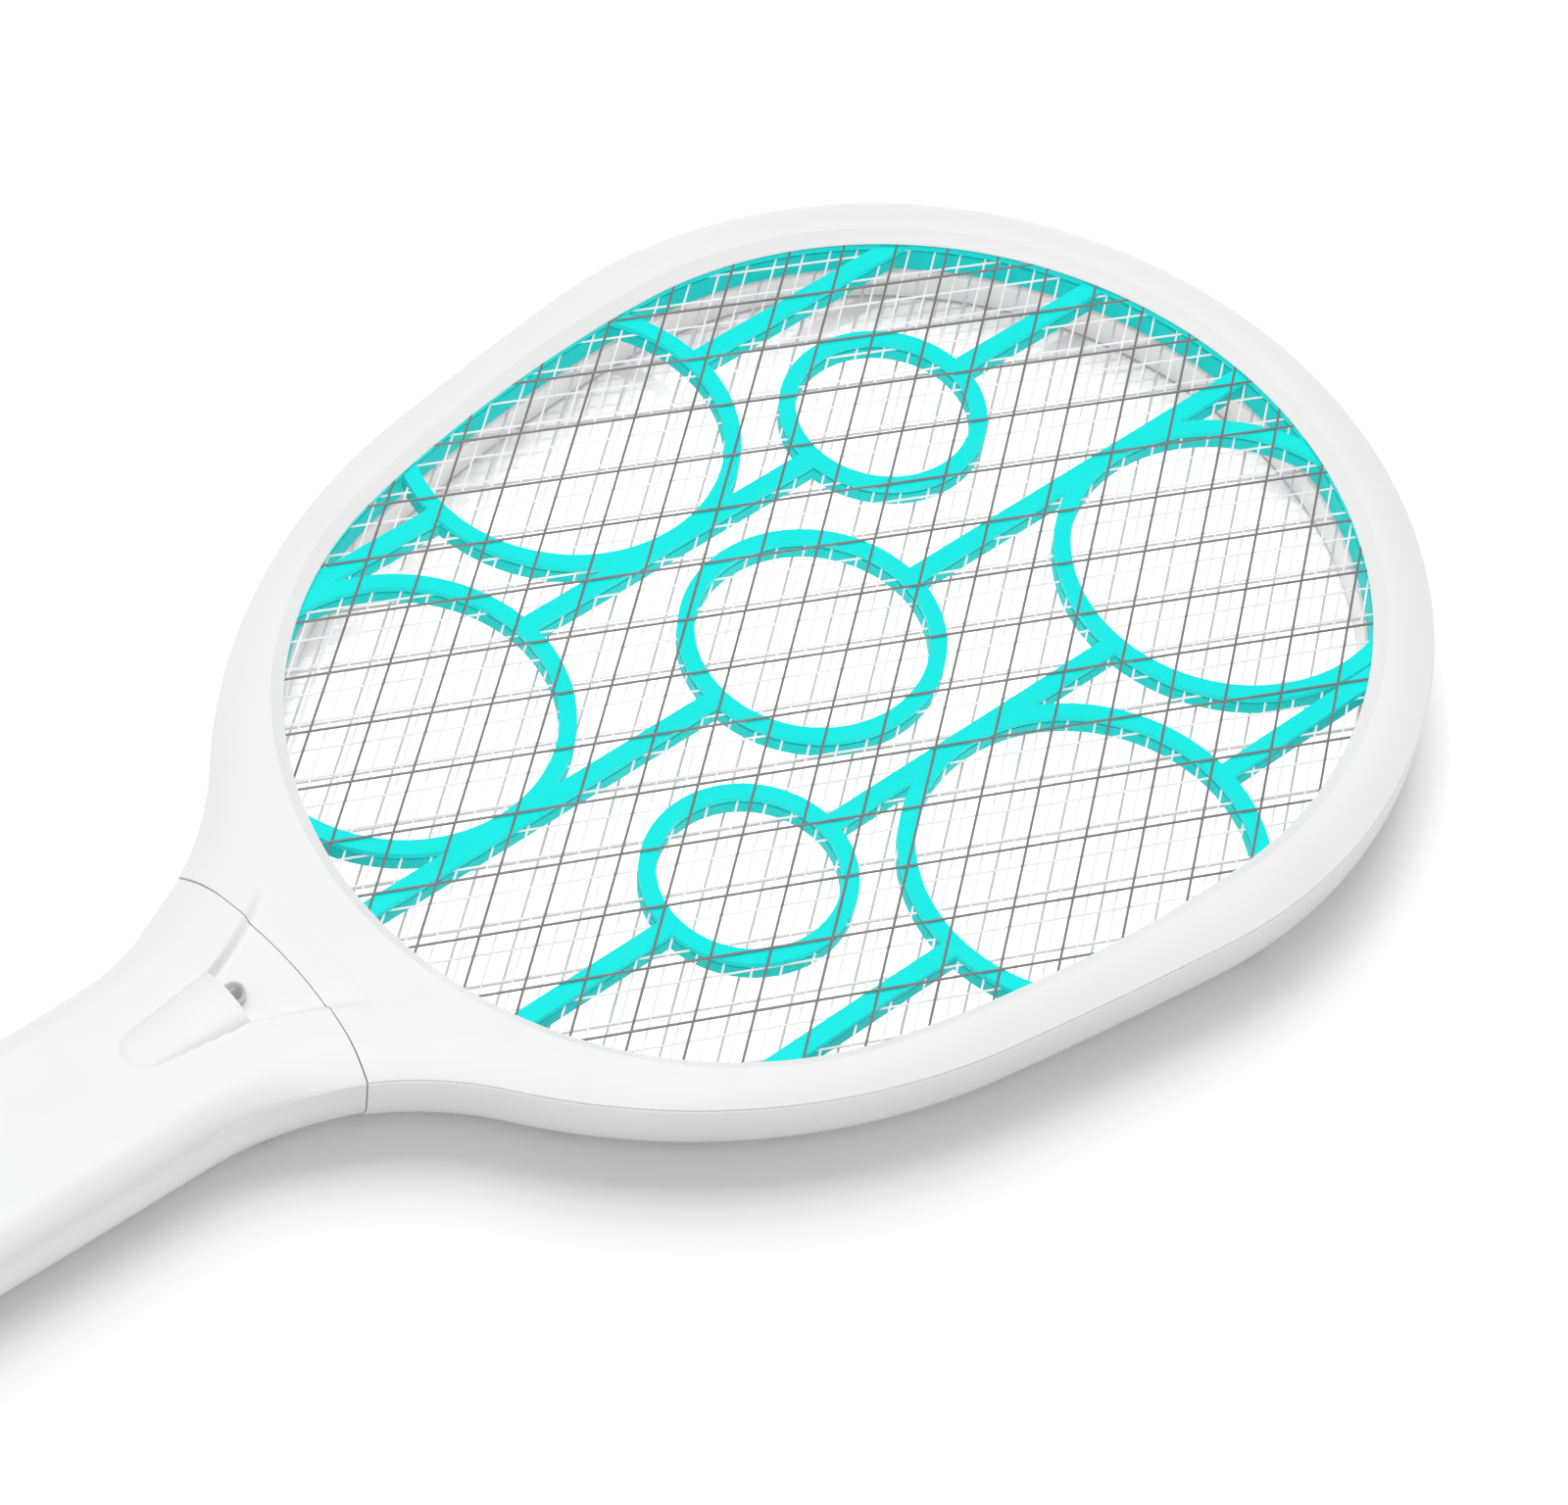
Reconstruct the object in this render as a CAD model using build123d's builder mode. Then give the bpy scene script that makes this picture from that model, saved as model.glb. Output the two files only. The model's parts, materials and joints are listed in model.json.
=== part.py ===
"""Electric fly swatter: a three-layer net in a clamshell head, on a two-shell handle.

The swatter lies on its back. +Z is the front face, +Y points from the handle to the tip of
the head, and the origin is on the resting surface, under the middle of the length.
"""
import os
from math import cos, sin, sqrt, radians

from build123d import *

# ---------------------------------------------------------------- driving dimensions (mm)
LENGTH = 480.0
HANDLE_END = -LENGTH / 2
HEAD_RADIUS = 103.0                      # crown of the head, seen from the front
CROWN_Y = LENGTH / 2 - HEAD_RADIUS       # centre of the crown arc
CROWN_EXTRA = 7.3                        # how far the crown arc runs past the widest point
FLANK_RADIUS, FLANK_TURN = 1090.0, 2.6
SHOULDER_RADIUS, SHOULDER_TURN = 133.0, 42.0
NECK_RADIUS = 64.0
NECK_TURN = CROWN_EXTRA + FLANK_TURN + SHOULDER_TURN

NET_RADIUS = 90.3                        # crown of the net opening, on the same centre
NET_SIDE_RADIUS, NET_SIDE_TURN = 308.0, 14.6
NET_FOOT_RADIUS = (NET_RADIUS - NET_SIDE_RADIUS * (1 - cos(radians(NET_SIDE_TURN)))) / cos(
    radians(NET_SIDE_TURN))

# Heights of the layers in the head, from the back face up.
SEAT_Z = 7.6                             # the rear outer mesh lies here
FRAME_Z = 8.4                            # foot of the rear grille's frame
REAR_GRILLE_Z = 10.8
MIDDLE_MESH_Z = 13.6
FRONT_GRILLE_Z = 14.2
FRONT_MESH_Z = 15.5
PARTING_Z = 15.5                         # front shell meets rear shell
LIP_Z = 16.3                             # underside of the front lip
TOP_Z = 18.6
WALL = 2.0
BACK_ROUND = 8.0                         # rounding of the rear shell's back edge

SEAT_WIDTH = 4.2                         # pocket for the layers, outside the opening
MESH_WIDTH = 3.4                         # each mesh reaches this far past the opening
RING_WALL = 6.0
FRAME_EDGE = 0.5                         # the grille frame stands this far behind the lip
FRAME_INSET = 2.8                        # width of the grille frame's wall
JOIN = 0.2                               # parts of one piece run this far into each other

# Front shell of the head: its edge slopes up in two steps, and a lip slopes down to the net.
STEP_BACK = 0.5                          # the front shell's edge stands this far inside the rear's
EDGE_RISE, EDGE_TAPER, FACE_TAPER = 1.7, 52, 74
SHELL_EDGE, FRONT_HOLLOW = 2.6, 0.8
LIP_WIDTH, LIP_FOOT_Z, LIP_TAPER = 2.6, 17.3, 60

# Rear shell of the head.
REAR_FLOOR_Z = 4.0
NOTCH_SIZE = (20, 8)                     # for the leads, where the meshes end nearest the handle

# Net pattern: circles (x, y, inner radius) and the bars that run along the swatter.
NET_Y = CROWN_Y - 29.0                   # datum of the net pattern
CIRCLES = [
    (-39.0, 51.6, 18.2),
    (-72.0, -5.4, 32.1),
    (-35.6, -76.7, 30.9),
    (-2.8, 1.0, 23.5),
    (32.6, 83.6, 33.2),
    (34.2, -47.0, 17.8),
    (69.5, 8.5, 33.1),
]
CIRCLE_WIDTH = 3.4
BAR_WIDTH = 3.8
BARS = [                                 # x, from y, to y
    (-72.4, 28.0, 100.0),
    (-70.8, -90.0, -39.0),
    (-38.8, 71.0, 125.0),
    (-38.0, -44.0, 34.0),
    (-2.2, 26.0, 125.0),
    (-2.0, -120.0, -24.0),
    (34.6, -27.0, 50.0),
    (34.6, -115.0, -66.0),
    (71.5, 43.0, 100.0),
    (70.5, -100.0, -26.0),
]
COARSE_WIRES = [(37.9, 10.72, 4.95), (-25.4, 13.3, 10.7)]   # angle, pitch, phase of each set
REAR_WIRES = [(37.9, 10.72, 9.9), (-25.4, 13.3, 4.7)]
FINE_WIRES = [(37.9, 5.36, 2.2), (-25.4, 6.65, 1.1)]
COARSE_WIRE = 0.8
FINE_WIRE = 0.25
MESH_GAP, WIRE_GAP = 0.03, 0.02          # under the middle mesh, and between its two sets
NET_REACH = 150.0                        # half length of a wire before it is trimmed

# The seam between head and handle is an arc that bulges towards the head.
SEAM_Y = -22.3
SEAM_RADIUS = 102.0
SEAM_GAP = 0.15

# Handle cross-sections: y, half width, height. The neck's come from its own arc.
SIDE_Z = 8.0
FOOT_TUCK, SHOULDER_TUCK = 2.0, 2.6      # how far the section narrows at its foot and its top
SECTION_ROUNDS = (6.5, 9.0, 5.5, 5.5, 9.0, 6.5)
NECK_STATIONS = (-12.0, -24.0, -36.0, -48.0, -62.0)
NECK_STEP = 0.1                          # the handle's neck is this much narrower than the head's
BEYOND = 300.0                           # longer than the handle
HANDLE_SPLIT_Z, SPLIT_GAP = 4.0, 0.05
CAP_Y, CAP_ROUND = -224.0, 2.2
CAP_WALLS, CAP_HOLLOW_ROUND = (7.0, 5.0), 4.0    # both walls together, across and up
GRIP = [(-85.0, 20.9, 18.6), (-122.0, 20.2, 18.6), (-150.0, 19.3, 21.4), (-182.0, 18.8, 23.6),
        (-210.0, 19.4, 22.6), (CAP_Y, 19.6, 21.8)]

# Torch: hood, LED and the shallow recess that the light leaves through.
HOOD_Y, HOOD_TIP_Y = -36.6, -60.0
HOOD_HALF, HOOD_HEIGHT = 6.9, 2.4
LED_RADIUS = 2.5
LED_Z = 17.3
HOOD_TIP_HALF, HOOD_TIP_HEIGHT, HOOD_ROOT = 2.6, 0.4, 0.8    # the hood runs this deep into the shell
LED_LENGTH, LED_BARREL, LED_FLANGE = 6.0, 0.8, 0.3
LED_BORE_FRONT, LED_BORE_LENGTH, LEG_BORE = 3.8, 10.4, 1.4
TORCH_BLOCK_Z, TORCH_BLOCK_Y, TORCH_BLOCK_SIZE, TORCH_BLOCK_HEIGHT = 12.8, -38.0, (18, 26), 5.4
RECESS_DEPTH = 2.0
RECESS_INSET, RECESS_LEAN, RECESS_FLARE, RECESS_TURN = 1.2, (-0.12, 1), 48, 24
RECESS_END_Y = -16.0

# Controls.
BUTTON_Y, BUTTON_RADIUS, BUTTON_TRAVEL = -105.0, 14.0, 1.4
BUTTON_GAP = 0.4
SLIDER_Y, SLIDER_TRAVEL = -136.0, 2.5    # travel each way from the middle
SLIDER_SIZE = (7.0, 10.0)
SLIDER_TOP_Z, SLIDER_FOOT_Z, SLIDER_GAP = 21.6, 15.2, 0.3
SLIDER_FLANGE_Z, SLIDER_FLANGE = 14.4, (11.0, 13.0)
SLIDER_PIN, SLIDER_PIN_Z = 2.4, 4.2      # the pin's foot, above the board
GRIP_PITCH, GRIP_WIDTH, GRIP_DEPTH = 1.6, 0.6, 0.5
INDICATOR_Y, INDICATOR_RADIUS, INDICATOR_GAP = -123.5, 1.45, 0.15
PUSH_SWITCH_SIZE, PUSH_SWITCH_HEIGHT, PLUNGER_RADIUS = 6.0, 3.8, 1.7
SLIDE_SWITCH_SIZE, SLIDE_SWITCH_OFFSET, SLIDE_SWITCH_HEIGHT = (6.5, 13.0), 1.5, 4.0

# Electronics.
BOARD_Z, BOARD_THICKNESS = 4.4, 1.6
BOARD_TOP = BOARD_Z + BOARD_THICKNESS
BOARD_HALF, BOARD_FRONT_Y, BOARD_BACK_Y = 14.0, -62.0, -141.5
BOARD_HOLE, BOARD_ROUND = 1.2, 1.5
BOARD_SCREWS = [(-11.0, -65.5), (11.0, -65.5), (-11.0, -138.5), (11.0, -138.5)]
TRANSFORMER = (5.0, -77.0)
CORE_SIZE, CORE_LEVEL, CORE_HALF_DEPTH = (14.0, 10.2), 5.2, 2.5
WINDOW_SIZE, WINDOW_X = (3.2, 6.6), 3.8
BOBBIN_SIZE, BOBBIN_HOLE, BOBBIN_LEVEL, BOBBIN_HEIGHT = (10.4, 10.6), (4.6, 5.2), 2.1, 6.2
FILM_SPOT, FILM_SIZE, FILM_HEIGHT = (-8.0, -79.0), (6.0, 17.0), 9.5
DISC_X, DISC_Y, DISC_LEVEL, DISC_RADIUS, DISC_HALF_THICKNESS = 8.0, (-87.0, -91.0, -95.0), 3.8, 3.2, 1.1
DISC_LEG_X, DISC_LEG_RADIUS = 2.0, 0.3
TRANSISTOR_SPOT, TRANSISTOR_RADIUS, TRANSISTOR_HEIGHT = (-1.0, -68.0), 2.4, 4.6
TRANSISTOR_LEGS, LEG_LENGTH = (-1.3, 0.0, 1.3), 1.0
DIODE_SIZE, RESISTOR_SIZE = (1.3, 5.0), (1.1, 6.0)   # radius and length
AXIAL_LIFT, AXIAL_LEG, AXIAL_REACH = 0.2, 0.6, 0.5
DIODES = [(-7.0, -93.0), (-7.0, -118.0), (7.0, -118.0)]
RESISTORS = [(-7.5, -114.0), (8.0, -114.0), (-8.5, -130.0)]
CELL_RADIUS, CELL_LENGTH, CELL_X = 7.1, 49.5, 7.4    # two AA-size cells, side by side
CELL_FRONT_Y, CELL_Z = -150.5, 10.6
RIB_Y = [-149.2, -201.2]                 # ribs that hold the cells' contact plates
RIB_SIZE = (28.0, 1.2)
CELL_END, CELL_NIB_RADIUS, CELL_ROUND = 1.0, 2.7, 0.8
PLATE_Z, PLATE_SIZE, PLATE_THICKNESS = 8.6, (26.0, 12.0), 0.4
PLATE_Y = [CELL_FRONT_Y + 0.6, CELL_FRONT_Y - CELL_LENGTH - 0.1]

# Charging plug, retracted into the end of the handle at rest.
PLUG_Y, PLUG_TRAVEL = -216.8, 17.0       # middle of the carriage, and how far it slides out
CARRIAGE_Z, CARRIAGE_LENGTH = 3.0, 6.0
THUMB_SIZE, THUMB_DEPTH, STEM_SIZE = 8.0, 1.3, 4.0
PRONG_SPACING, PRONG_Z, PRONG_LENGTH = 12.7, 11.0, 17.5
PRONG_SIZE = (1.6, 6.3)
PRONG_GAP, TRACK_GAP, SLOT_GAP, TRACK_ROUND = 0.4, 0.5, 0.4, 1.0
CARRIAGE_WIDTH, CARRIAGE_HEIGHT, STEM_FOOT_Z, THUMB_Z = 24.0, 13.0, 0.6, 0.1
BLADE_X, BLADE_FOOT_X, BLADE_Z, BLADE_HEIGHT = 13.0, 14.6, 8.0, 5.0
BLADE_THICKNESS, BLADE_LENGTH, BLADE_FOOT = 0.4, 12.0, 3.4

# Button, its stem and its spring.
FLANGE_Z, STEM_Z = 15.4, 11.8
BUTTON_TOP_Z, DISH_RADIUS, DISH_DEPTH, BUTTON_ROUND = 19.4, 90.0, 0.7, 0.9
CROWN_FOOT, FLANGE_EXTRA, FLANGE_SIZE, FLANGE_HEIGHT, STEM_RADIUS = 0.6, 1.4, (18, 40), 0.9, 2.5
SPRING_WIRE, SPRING_RADIUS, SPRING_TURNS = 0.8, 5.6, 5

# Leads, each a list of corners with the radius of each bend.
NET_FOOT_Y = NET_Y - 111.7
LIVE_LEAD = [(0, -13.2, 13.0), (-1.5, -26, 9.5), (-4, -42, 8.0), (-4, -62.8, 6.7)]
FRONT_LEAD = [(6, -13.2, 14.5), (6.5, -26, 9.5), (7.5, -42, 8.0), (7, -62.8, 6.7)]
REAR_LEAD = [(-6, -13.2, 7.0), (-6.5, -26, 7.4), (-8, -42, 7.6), (-7, -62.8, 6.7)]
LEAD_RADII = [12, 18]
LEAD_RADIUS, TORCH_LEAD_RADIUS = 0.6, 0.45
TABS = [(-6.0, SEAT_Z), (0.0, MIDDLE_MESH_Z), (6.0, FRONT_MESH_Z - 0.45)]    # x, height of each
TAB_OFFSET, TAB_SIZE, TAB_THICKNESS = 6.7, (3.0, 6.6), 0.4
LEG_Z = 15.8                             # the torch LED's leads leave the hood at this height
TORCH_LEAD = [(0, -43.0, LEG_Z), (0, -53.0, LEG_Z), (1.0, -58.0, 10.5), (2.0, -63.0, 6.6)]
TORCH_RADII = [4, 5]
CELL_LEAD = [(6.0, -139.0, 6.7), (6.2, -144.5, 6.8), (6.4, -149.8, 6.9)]
CELL_RADII = [20]

SCREW_SHAFT, SCREW_HEAD = 1.2, 2.4
HANDLE_SCREWS = [(-17.0, -42.0), (17.0, -42.0), (-12.0, -145.8), (12.0, -145.8),
                 (-12.0, -208.0), (12.0, -208.0)]
HEAD_SCREW_OFFSET = 7.9
HEAD_SCREW_PLACES = [0, 10, 17, 27, 32, 37.5, 43]    # 48ths of the way round, where the rim is wide
HEAD_POST_RADIUS, HEAD_POST_Z, HEAD_POST_LENGTH = 1.75, 7.0, 10.2
HEAD_THREAD, PILOT_DEPTH = 1.0, 8.0
HEAD_BOSS_RADIUS, HEAD_BOSS_Z, HEAD_BOSS_LENGTH = 2.6, 3.0, 3.9
HEAD_SINK_RADIUS, HEAD_SINK_DEPTH = 1.9, 4.5         # the screws' heads sit at the bottom of this
HEAD_SCREW_HEAD, HEAD_SCREW_THICKNESS, HEAD_SCREW_LENGTH = 1.8, 1.4, 8.0
POST_RADIUS, POST_Z, POST_PILOT = 2.7, 6.1, 9.0      # posts of the handle's front shell
BOSS_RADIUS, BOSS_FOOT_Z, BOSS_LENGTH = 3.4, 1.0, 5.0
SINK_DEPTH, SCREW_HEAD_Z, SCREW_LENGTH = 3.0, 1.0, 9.0
BOARD_POST_RADIUS, BOARD_THREAD = 2.0, 0.9
BOARD_SCREW_HEAD, BOARD_SCREW_THICKNESS, BOARD_SCREW_LENGTH = 1.9, 1.2, 3.6

WHITE, BLACK, CLEAR = Color(0.96, 0.96, 0.96), Color(0.08, 0.08, 0.09), Color(0.85, 0.88, 0.92)
TEAL, STEEL, BRASS = Color(0.1, 0.9, 0.88), Color(0.45, 0.45, 0.47), Color(0.8, 0.65, 0.3)
RED, GREEN = Color(0.8, 0.1, 0.08), Color(0.1, 0.4, 0.2)
BLUE, YELLOW = Color(0.15, 0.3, 0.75), Color(0.85, 0.7, 0.2)

os.makedirs("parts", exist_ok=True)


def save(part, label, colour=WHITE):
    """Label one finished piece, check that it is whole and write its STEP."""
    part.label = label
    part.color = colour
    export_step(part, f"parts/{label}.step")
    print(f"{label:24s} solids {len(part.solids())}  volume {part.volume / 1000:8.2f} cm3")


# ---------------------------------------------------------------- outlines
def opening_face(grow=0.0):
    """The net opening, grown outward: three tangent arcs a side, mirrored."""
    with BuildSketch() as face:
        with BuildLine():
            crown = JernArc((0, CROWN_Y + NET_RADIUS + grow), (-1, 0), NET_RADIUS + grow, 90)
            side = JernArc(crown @ 1, crown % 1, NET_SIDE_RADIUS + grow, NET_SIDE_TURN)
            JernArc(side @ 1, side % 1, NET_FOOT_RADIUS + grow, 90 - NET_SIDE_TURN)
            mirror(about=Plane.YZ)
        make_face()
    return face.sketch


def head_face(grow=0.0, seam_gap=0.0):
    """Head and neck as far as the seam: tangent arcs, mirrored, cut by the seam's circle."""
    with BuildSketch() as face:
        with BuildLine():
            crown = JernArc((0, CROWN_Y + HEAD_RADIUS + grow), (-1, 0), HEAD_RADIUS + grow,
                            90 + CROWN_EXTRA)
            flank = JernArc(crown @ 1, crown % 1, FLANK_RADIUS + grow, FLANK_TURN)
            shoulder = JernArc(flank @ 1, flank % 1, SHOULDER_RADIUS + grow, SHOULDER_TURN)
            neck = JernArc(shoulder @ 1, shoulder % 1, NECK_RADIUS - grow, -NECK_TURN)
            Line(neck @ 1, (0, (neck @ 1).Y))
            mirror(about=Plane.YZ)
        make_face()
        with Locations((0, SEAM_Y - SEAM_RADIUS)):
            Circle(SEAM_RADIUS + seam_gap, mode=Mode.SUBTRACT)
    return face.sketch


def neck_half_width(y):
    """Half width of the neck where its concave arc carries it."""
    end_x = (HEAD_RADIUS * cos(radians(CROWN_EXTRA))
             - FLANK_RADIUS * (cos(radians(CROWN_EXTRA)) - cos(radians(CROWN_EXTRA + FLANK_TURN)))
             - SHOULDER_RADIUS * (cos(radians(CROWN_EXTRA + FLANK_TURN)) - cos(radians(NECK_TURN)))
             - NECK_RADIUS * (1 - cos(radians(NECK_TURN))))
    end_y = (CROWN_Y - HEAD_RADIUS * sin(radians(CROWN_EXTRA))
             - FLANK_RADIUS * (sin(radians(CROWN_EXTRA + FLANK_TURN)) - sin(radians(CROWN_EXTRA)))
             - SHOULDER_RADIUS * (sin(radians(NECK_TURN)) - sin(radians(CROWN_EXTRA + FLANK_TURN)))
             - NECK_RADIUS * sin(radians(NECK_TURN)))
    rise = max(y - end_y, 0.0)
    return end_x + NECK_RADIUS - sqrt(NECK_RADIUS**2 - rise**2)


def wire_strips(sets, width):
    """Sketch of sets of parallel wires, trimmed to the layers' edge."""
    with BuildSketch() as net:
        for angle, pitch, phase in sets:
            across = Vector(-cos(radians(angle)), -sin(radians(angle)))
            count = int(NET_REACH / pitch)
            middles = [Vector(0, NET_Y) + across * (phase + pitch * k)
                       for k in range(-count, count + 1)]
            spots = [Location((m.X, m.Y, 0), (0, 0, angle)) for m in middles]
            with Locations(*spots):
                Rectangle(width, 2 * NET_REACH)
        add(opening_face(MESH_WIDTH), mode=Mode.INTERSECT)
    return net.sketch


def grille_face():
    """Rings and bars of a grille, with the rim that holds them."""
    with BuildSketch() as face:
        for x, y, radius in CIRCLES:
            with Locations((x, NET_Y + y)):
                Circle(radius + CIRCLE_WIDTH)
        for x, low, high in BARS:
            with Locations((x, NET_Y + (low + high) / 2)):
                Rectangle(BAR_WIDTH, high - low)
        for x, y, radius in CIRCLES:
            with Locations((x, NET_Y + y)):
                Circle(radius, mode=Mode.SUBTRACT)
        add(opening_face(FRAME_EDGE + JOIN), mode=Mode.INTERSECT)
        add(frame_face())
    return face.sketch


def frame_face():
    """The grille's rim: a band just outside the opening."""
    with BuildSketch() as face:
        add(opening_face(FRAME_EDGE + FRAME_INSET))
        add(opening_face(FRAME_EDGE), mode=Mode.SUBTRACT)
    return face.sketch


def head_screw_spots():
    """Where the head's screws stand: round the rim, clear of its narrow flanks."""
    path = opening_face(HEAD_SCREW_OFFSET).wire()
    spots = [path.position_at(place / 48) for place in HEAD_SCREW_PLACES]
    return [(p.X, p.Y) for p in spots]


def handle_section(y, half, top, inset=0.0):
    """One rounded cross-section of the handle, drawn in the plane at y."""
    with BuildSketch(Plane.XZ.offset(-y)) as section:
        with BuildLine():
            FilletPolyline(
                (-(half - FOOT_TUCK - inset), inset),
                (-(half - inset), SIDE_Z),
                (-(half - SHOULDER_TUCK - inset), top - inset),
                (half - SHOULDER_TUCK - inset, top - inset),
                (half - inset, SIDE_Z),
                (half - FOOT_TUCK - inset, inset),
                radius=[r - inset for r in SECTION_ROUNDS],
                close=True,
            )
        make_face()
    return section.sketch


def handle_blank(inset=0.0):
    """The handle as one lofted solid, from inside the head to the end cap."""
    neck = [(y, neck_half_width(y) - NECK_STEP, TOP_Z) for y in NECK_STATIONS]
    with BuildPart() as blank:
        for y, half, top in neck + GRIP:
            add(handle_section(y, half, top, inset))
        loft()
    return blank.part


def seam_block(grow=0.0):
    """Everything on the handle's side of the seam."""
    with BuildPart() as block:
        with BuildSketch():
            with Locations((0, SEAM_Y - SEAM_RADIUS)):
                Circle(SEAM_RADIUS - grow)
            with Locations((0, SEAM_Y - 2 * SEAM_RADIUS)):
                Rectangle(2 * SEAM_RADIUS, 2 * SEAM_RADIUS - 4 * WALL)
        extrude(amount=2 * TOP_Z)
    return block.part


# ---------------------------------------------------------------- head
def head_front_shell():
    """Shallow front shell: convex face, lip over the net, hollow posts for the screws."""
    with BuildPart() as shell:
        with BuildSketch(Plane.XY.offset(PARTING_Z)):
            add(head_face(-STEP_BACK, SEAM_GAP))
        extrude(amount=EDGE_RISE, taper=EDGE_TAPER)
        top = shell.faces().sort_by(Axis.Z)[-1]
        extrude(top, amount=TOP_Z - PARTING_Z - EDGE_RISE, taper=FACE_TAPER)
        with BuildSketch(Plane.XY.offset(PARTING_Z)):
            add(head_face(-SHELL_EDGE, SEAM_GAP + 0.1))
            add(opening_face(RING_WALL), mode=Mode.SUBTRACT)
        extrude(amount=FRONT_HOLLOW, mode=Mode.SUBTRACT)
        with BuildSketch(Plane.XY.offset(PARTING_Z)):
            add(opening_face(SEAT_WIDTH))
        extrude(amount=LIP_Z - PARTING_Z, mode=Mode.SUBTRACT)
        with BuildSketch(Plane.XY.offset(PARTING_Z)):
            add(opening_face())
        extrude(amount=WALL * 3, mode=Mode.SUBTRACT)
        with BuildSketch(Plane.XY.offset(TOP_Z)):
            add(opening_face(LIP_WIDTH))
        extrude(amount=-(TOP_Z - LIP_FOOT_Z), taper=LIP_TAPER, mode=Mode.SUBTRACT)
        with BuildSketch(Plane.XY.offset(HEAD_POST_Z)):
            with Locations(*head_screw_spots()):
                Circle(HEAD_POST_RADIUS)
        extrude(amount=HEAD_POST_LENGTH)
        with BuildSketch(Plane.XY.offset(HEAD_POST_Z)):
            with Locations(*head_screw_spots()):
                Circle(HEAD_THREAD)
        extrude(amount=PILOT_DEPTH, mode=Mode.SUBTRACT)
        add(light_recess(), mode=Mode.SUBTRACT)
    return shell.part


def head_rear_shell():
    """Deep rear shell: rounded back edge, seat for the layers, wire space in the neck."""
    with BuildPart() as shell:
        with BuildSketch():
            add(head_face(0, SEAM_GAP))
        extrude(amount=PARTING_Z)
        back = shell.faces().sort_by(Axis.Z)[0].edges()
        outer = back.filter_by(lambda e: e.center().Y > SEAM_Y + 1 or abs(e.center().X) > 30)
        fillet(outer, BACK_ROUND)
        with BuildSketch(Plane.XY.offset(REAR_FLOOR_Z)):
            add(head_face(-2.5, -SEAM_GAP))
            add(opening_face(RING_WALL), mode=Mode.SUBTRACT)
        extrude(amount=PARTING_Z, mode=Mode.SUBTRACT)
        with BuildSketch():
            add(opening_face())
        extrude(amount=PARTING_Z, mode=Mode.SUBTRACT)
        with BuildSketch(Plane.XY.offset(SEAT_Z)):
            add(opening_face(SEAT_WIDTH))
            with Locations((0, NET_FOOT_Y - SEAT_WIDTH)):
                Rectangle(*NOTCH_SIZE)
        extrude(amount=PARTING_Z, mode=Mode.SUBTRACT)
        with BuildSketch(Plane.XY.offset(HEAD_BOSS_Z)):
            with Locations(*head_screw_spots()):
                Circle(HEAD_BOSS_RADIUS)
        extrude(amount=HEAD_BOSS_LENGTH)
        with BuildSketch():
            with Locations(*head_screw_spots()):
                Circle(SCREW_SHAFT)
        extrude(amount=HEAD_POST_Z, mode=Mode.SUBTRACT)
        with BuildSketch():
            with Locations(*head_screw_spots()):
                Circle(HEAD_SINK_RADIUS)
        extrude(amount=HEAD_SINK_DEPTH, mode=Mode.SUBTRACT)
    return shell.part


def head_screws():
    """Self-tapping screws, driven from the back into the front shell's posts."""
    with BuildPart() as screws:
        with BuildSketch(Plane.XY.offset(HEAD_SINK_DEPTH - HEAD_SCREW_THICKNESS)):
            with Locations(*head_screw_spots()):
                Circle(HEAD_SCREW_HEAD)
        extrude(amount=HEAD_SCREW_THICKNESS)
        with BuildSketch(Plane.XY.offset(HEAD_SINK_DEPTH)):
            with Locations(*head_screw_spots()):
                Circle(HEAD_THREAD)
        extrude(amount=HEAD_SCREW_LENGTH)
    return screws.part


def coarse_mesh(sets, low):
    """One outer mesh: two sets of wires, welded flush where they cross."""
    with BuildPart() as mesh:
        with BuildSketch(Plane.XY.offset(low)):
            add(wire_strips(sets, COARSE_WIRE))
        extrude(amount=COARSE_WIRE)
    return mesh.part


def middle_mesh():
    """The live mesh: one set of fine wires lies on the other."""
    with BuildPart() as mesh:
        for level, wires in enumerate(FINE_WIRES):
            with BuildSketch(Plane.XY.offset(MIDDLE_MESH_Z + MESH_GAP + level * (FINE_WIRE + WIRE_GAP))):
                add(wire_strips([wires], FINE_WIRE))
            extrude(amount=FINE_WIRE)
    return mesh.part


def front_grille():
    """Thin front grille that keeps fingers off the live middle mesh."""
    with BuildPart() as grille:
        with BuildSketch(Plane.XY.offset(FRONT_GRILLE_Z)):
            add(grille_face())
        extrude(amount=FRONT_MESH_Z - FRONT_GRILLE_Z)
    return grille.part


def rear_grille():
    """Rear grille with the deep frame that spaces the middle mesh from the rear mesh."""
    with BuildPart() as grille:
        with BuildSketch(Plane.XY.offset(REAR_GRILLE_Z)):
            add(grille_face())
        extrude(amount=MIDDLE_MESH_Z - REAR_GRILLE_Z)
        with BuildSketch(Plane.XY.offset(FRAME_Z)):
            add(frame_face())
        extrude(amount=MIDDLE_MESH_Z - FRAME_Z)
    return grille.part


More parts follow.
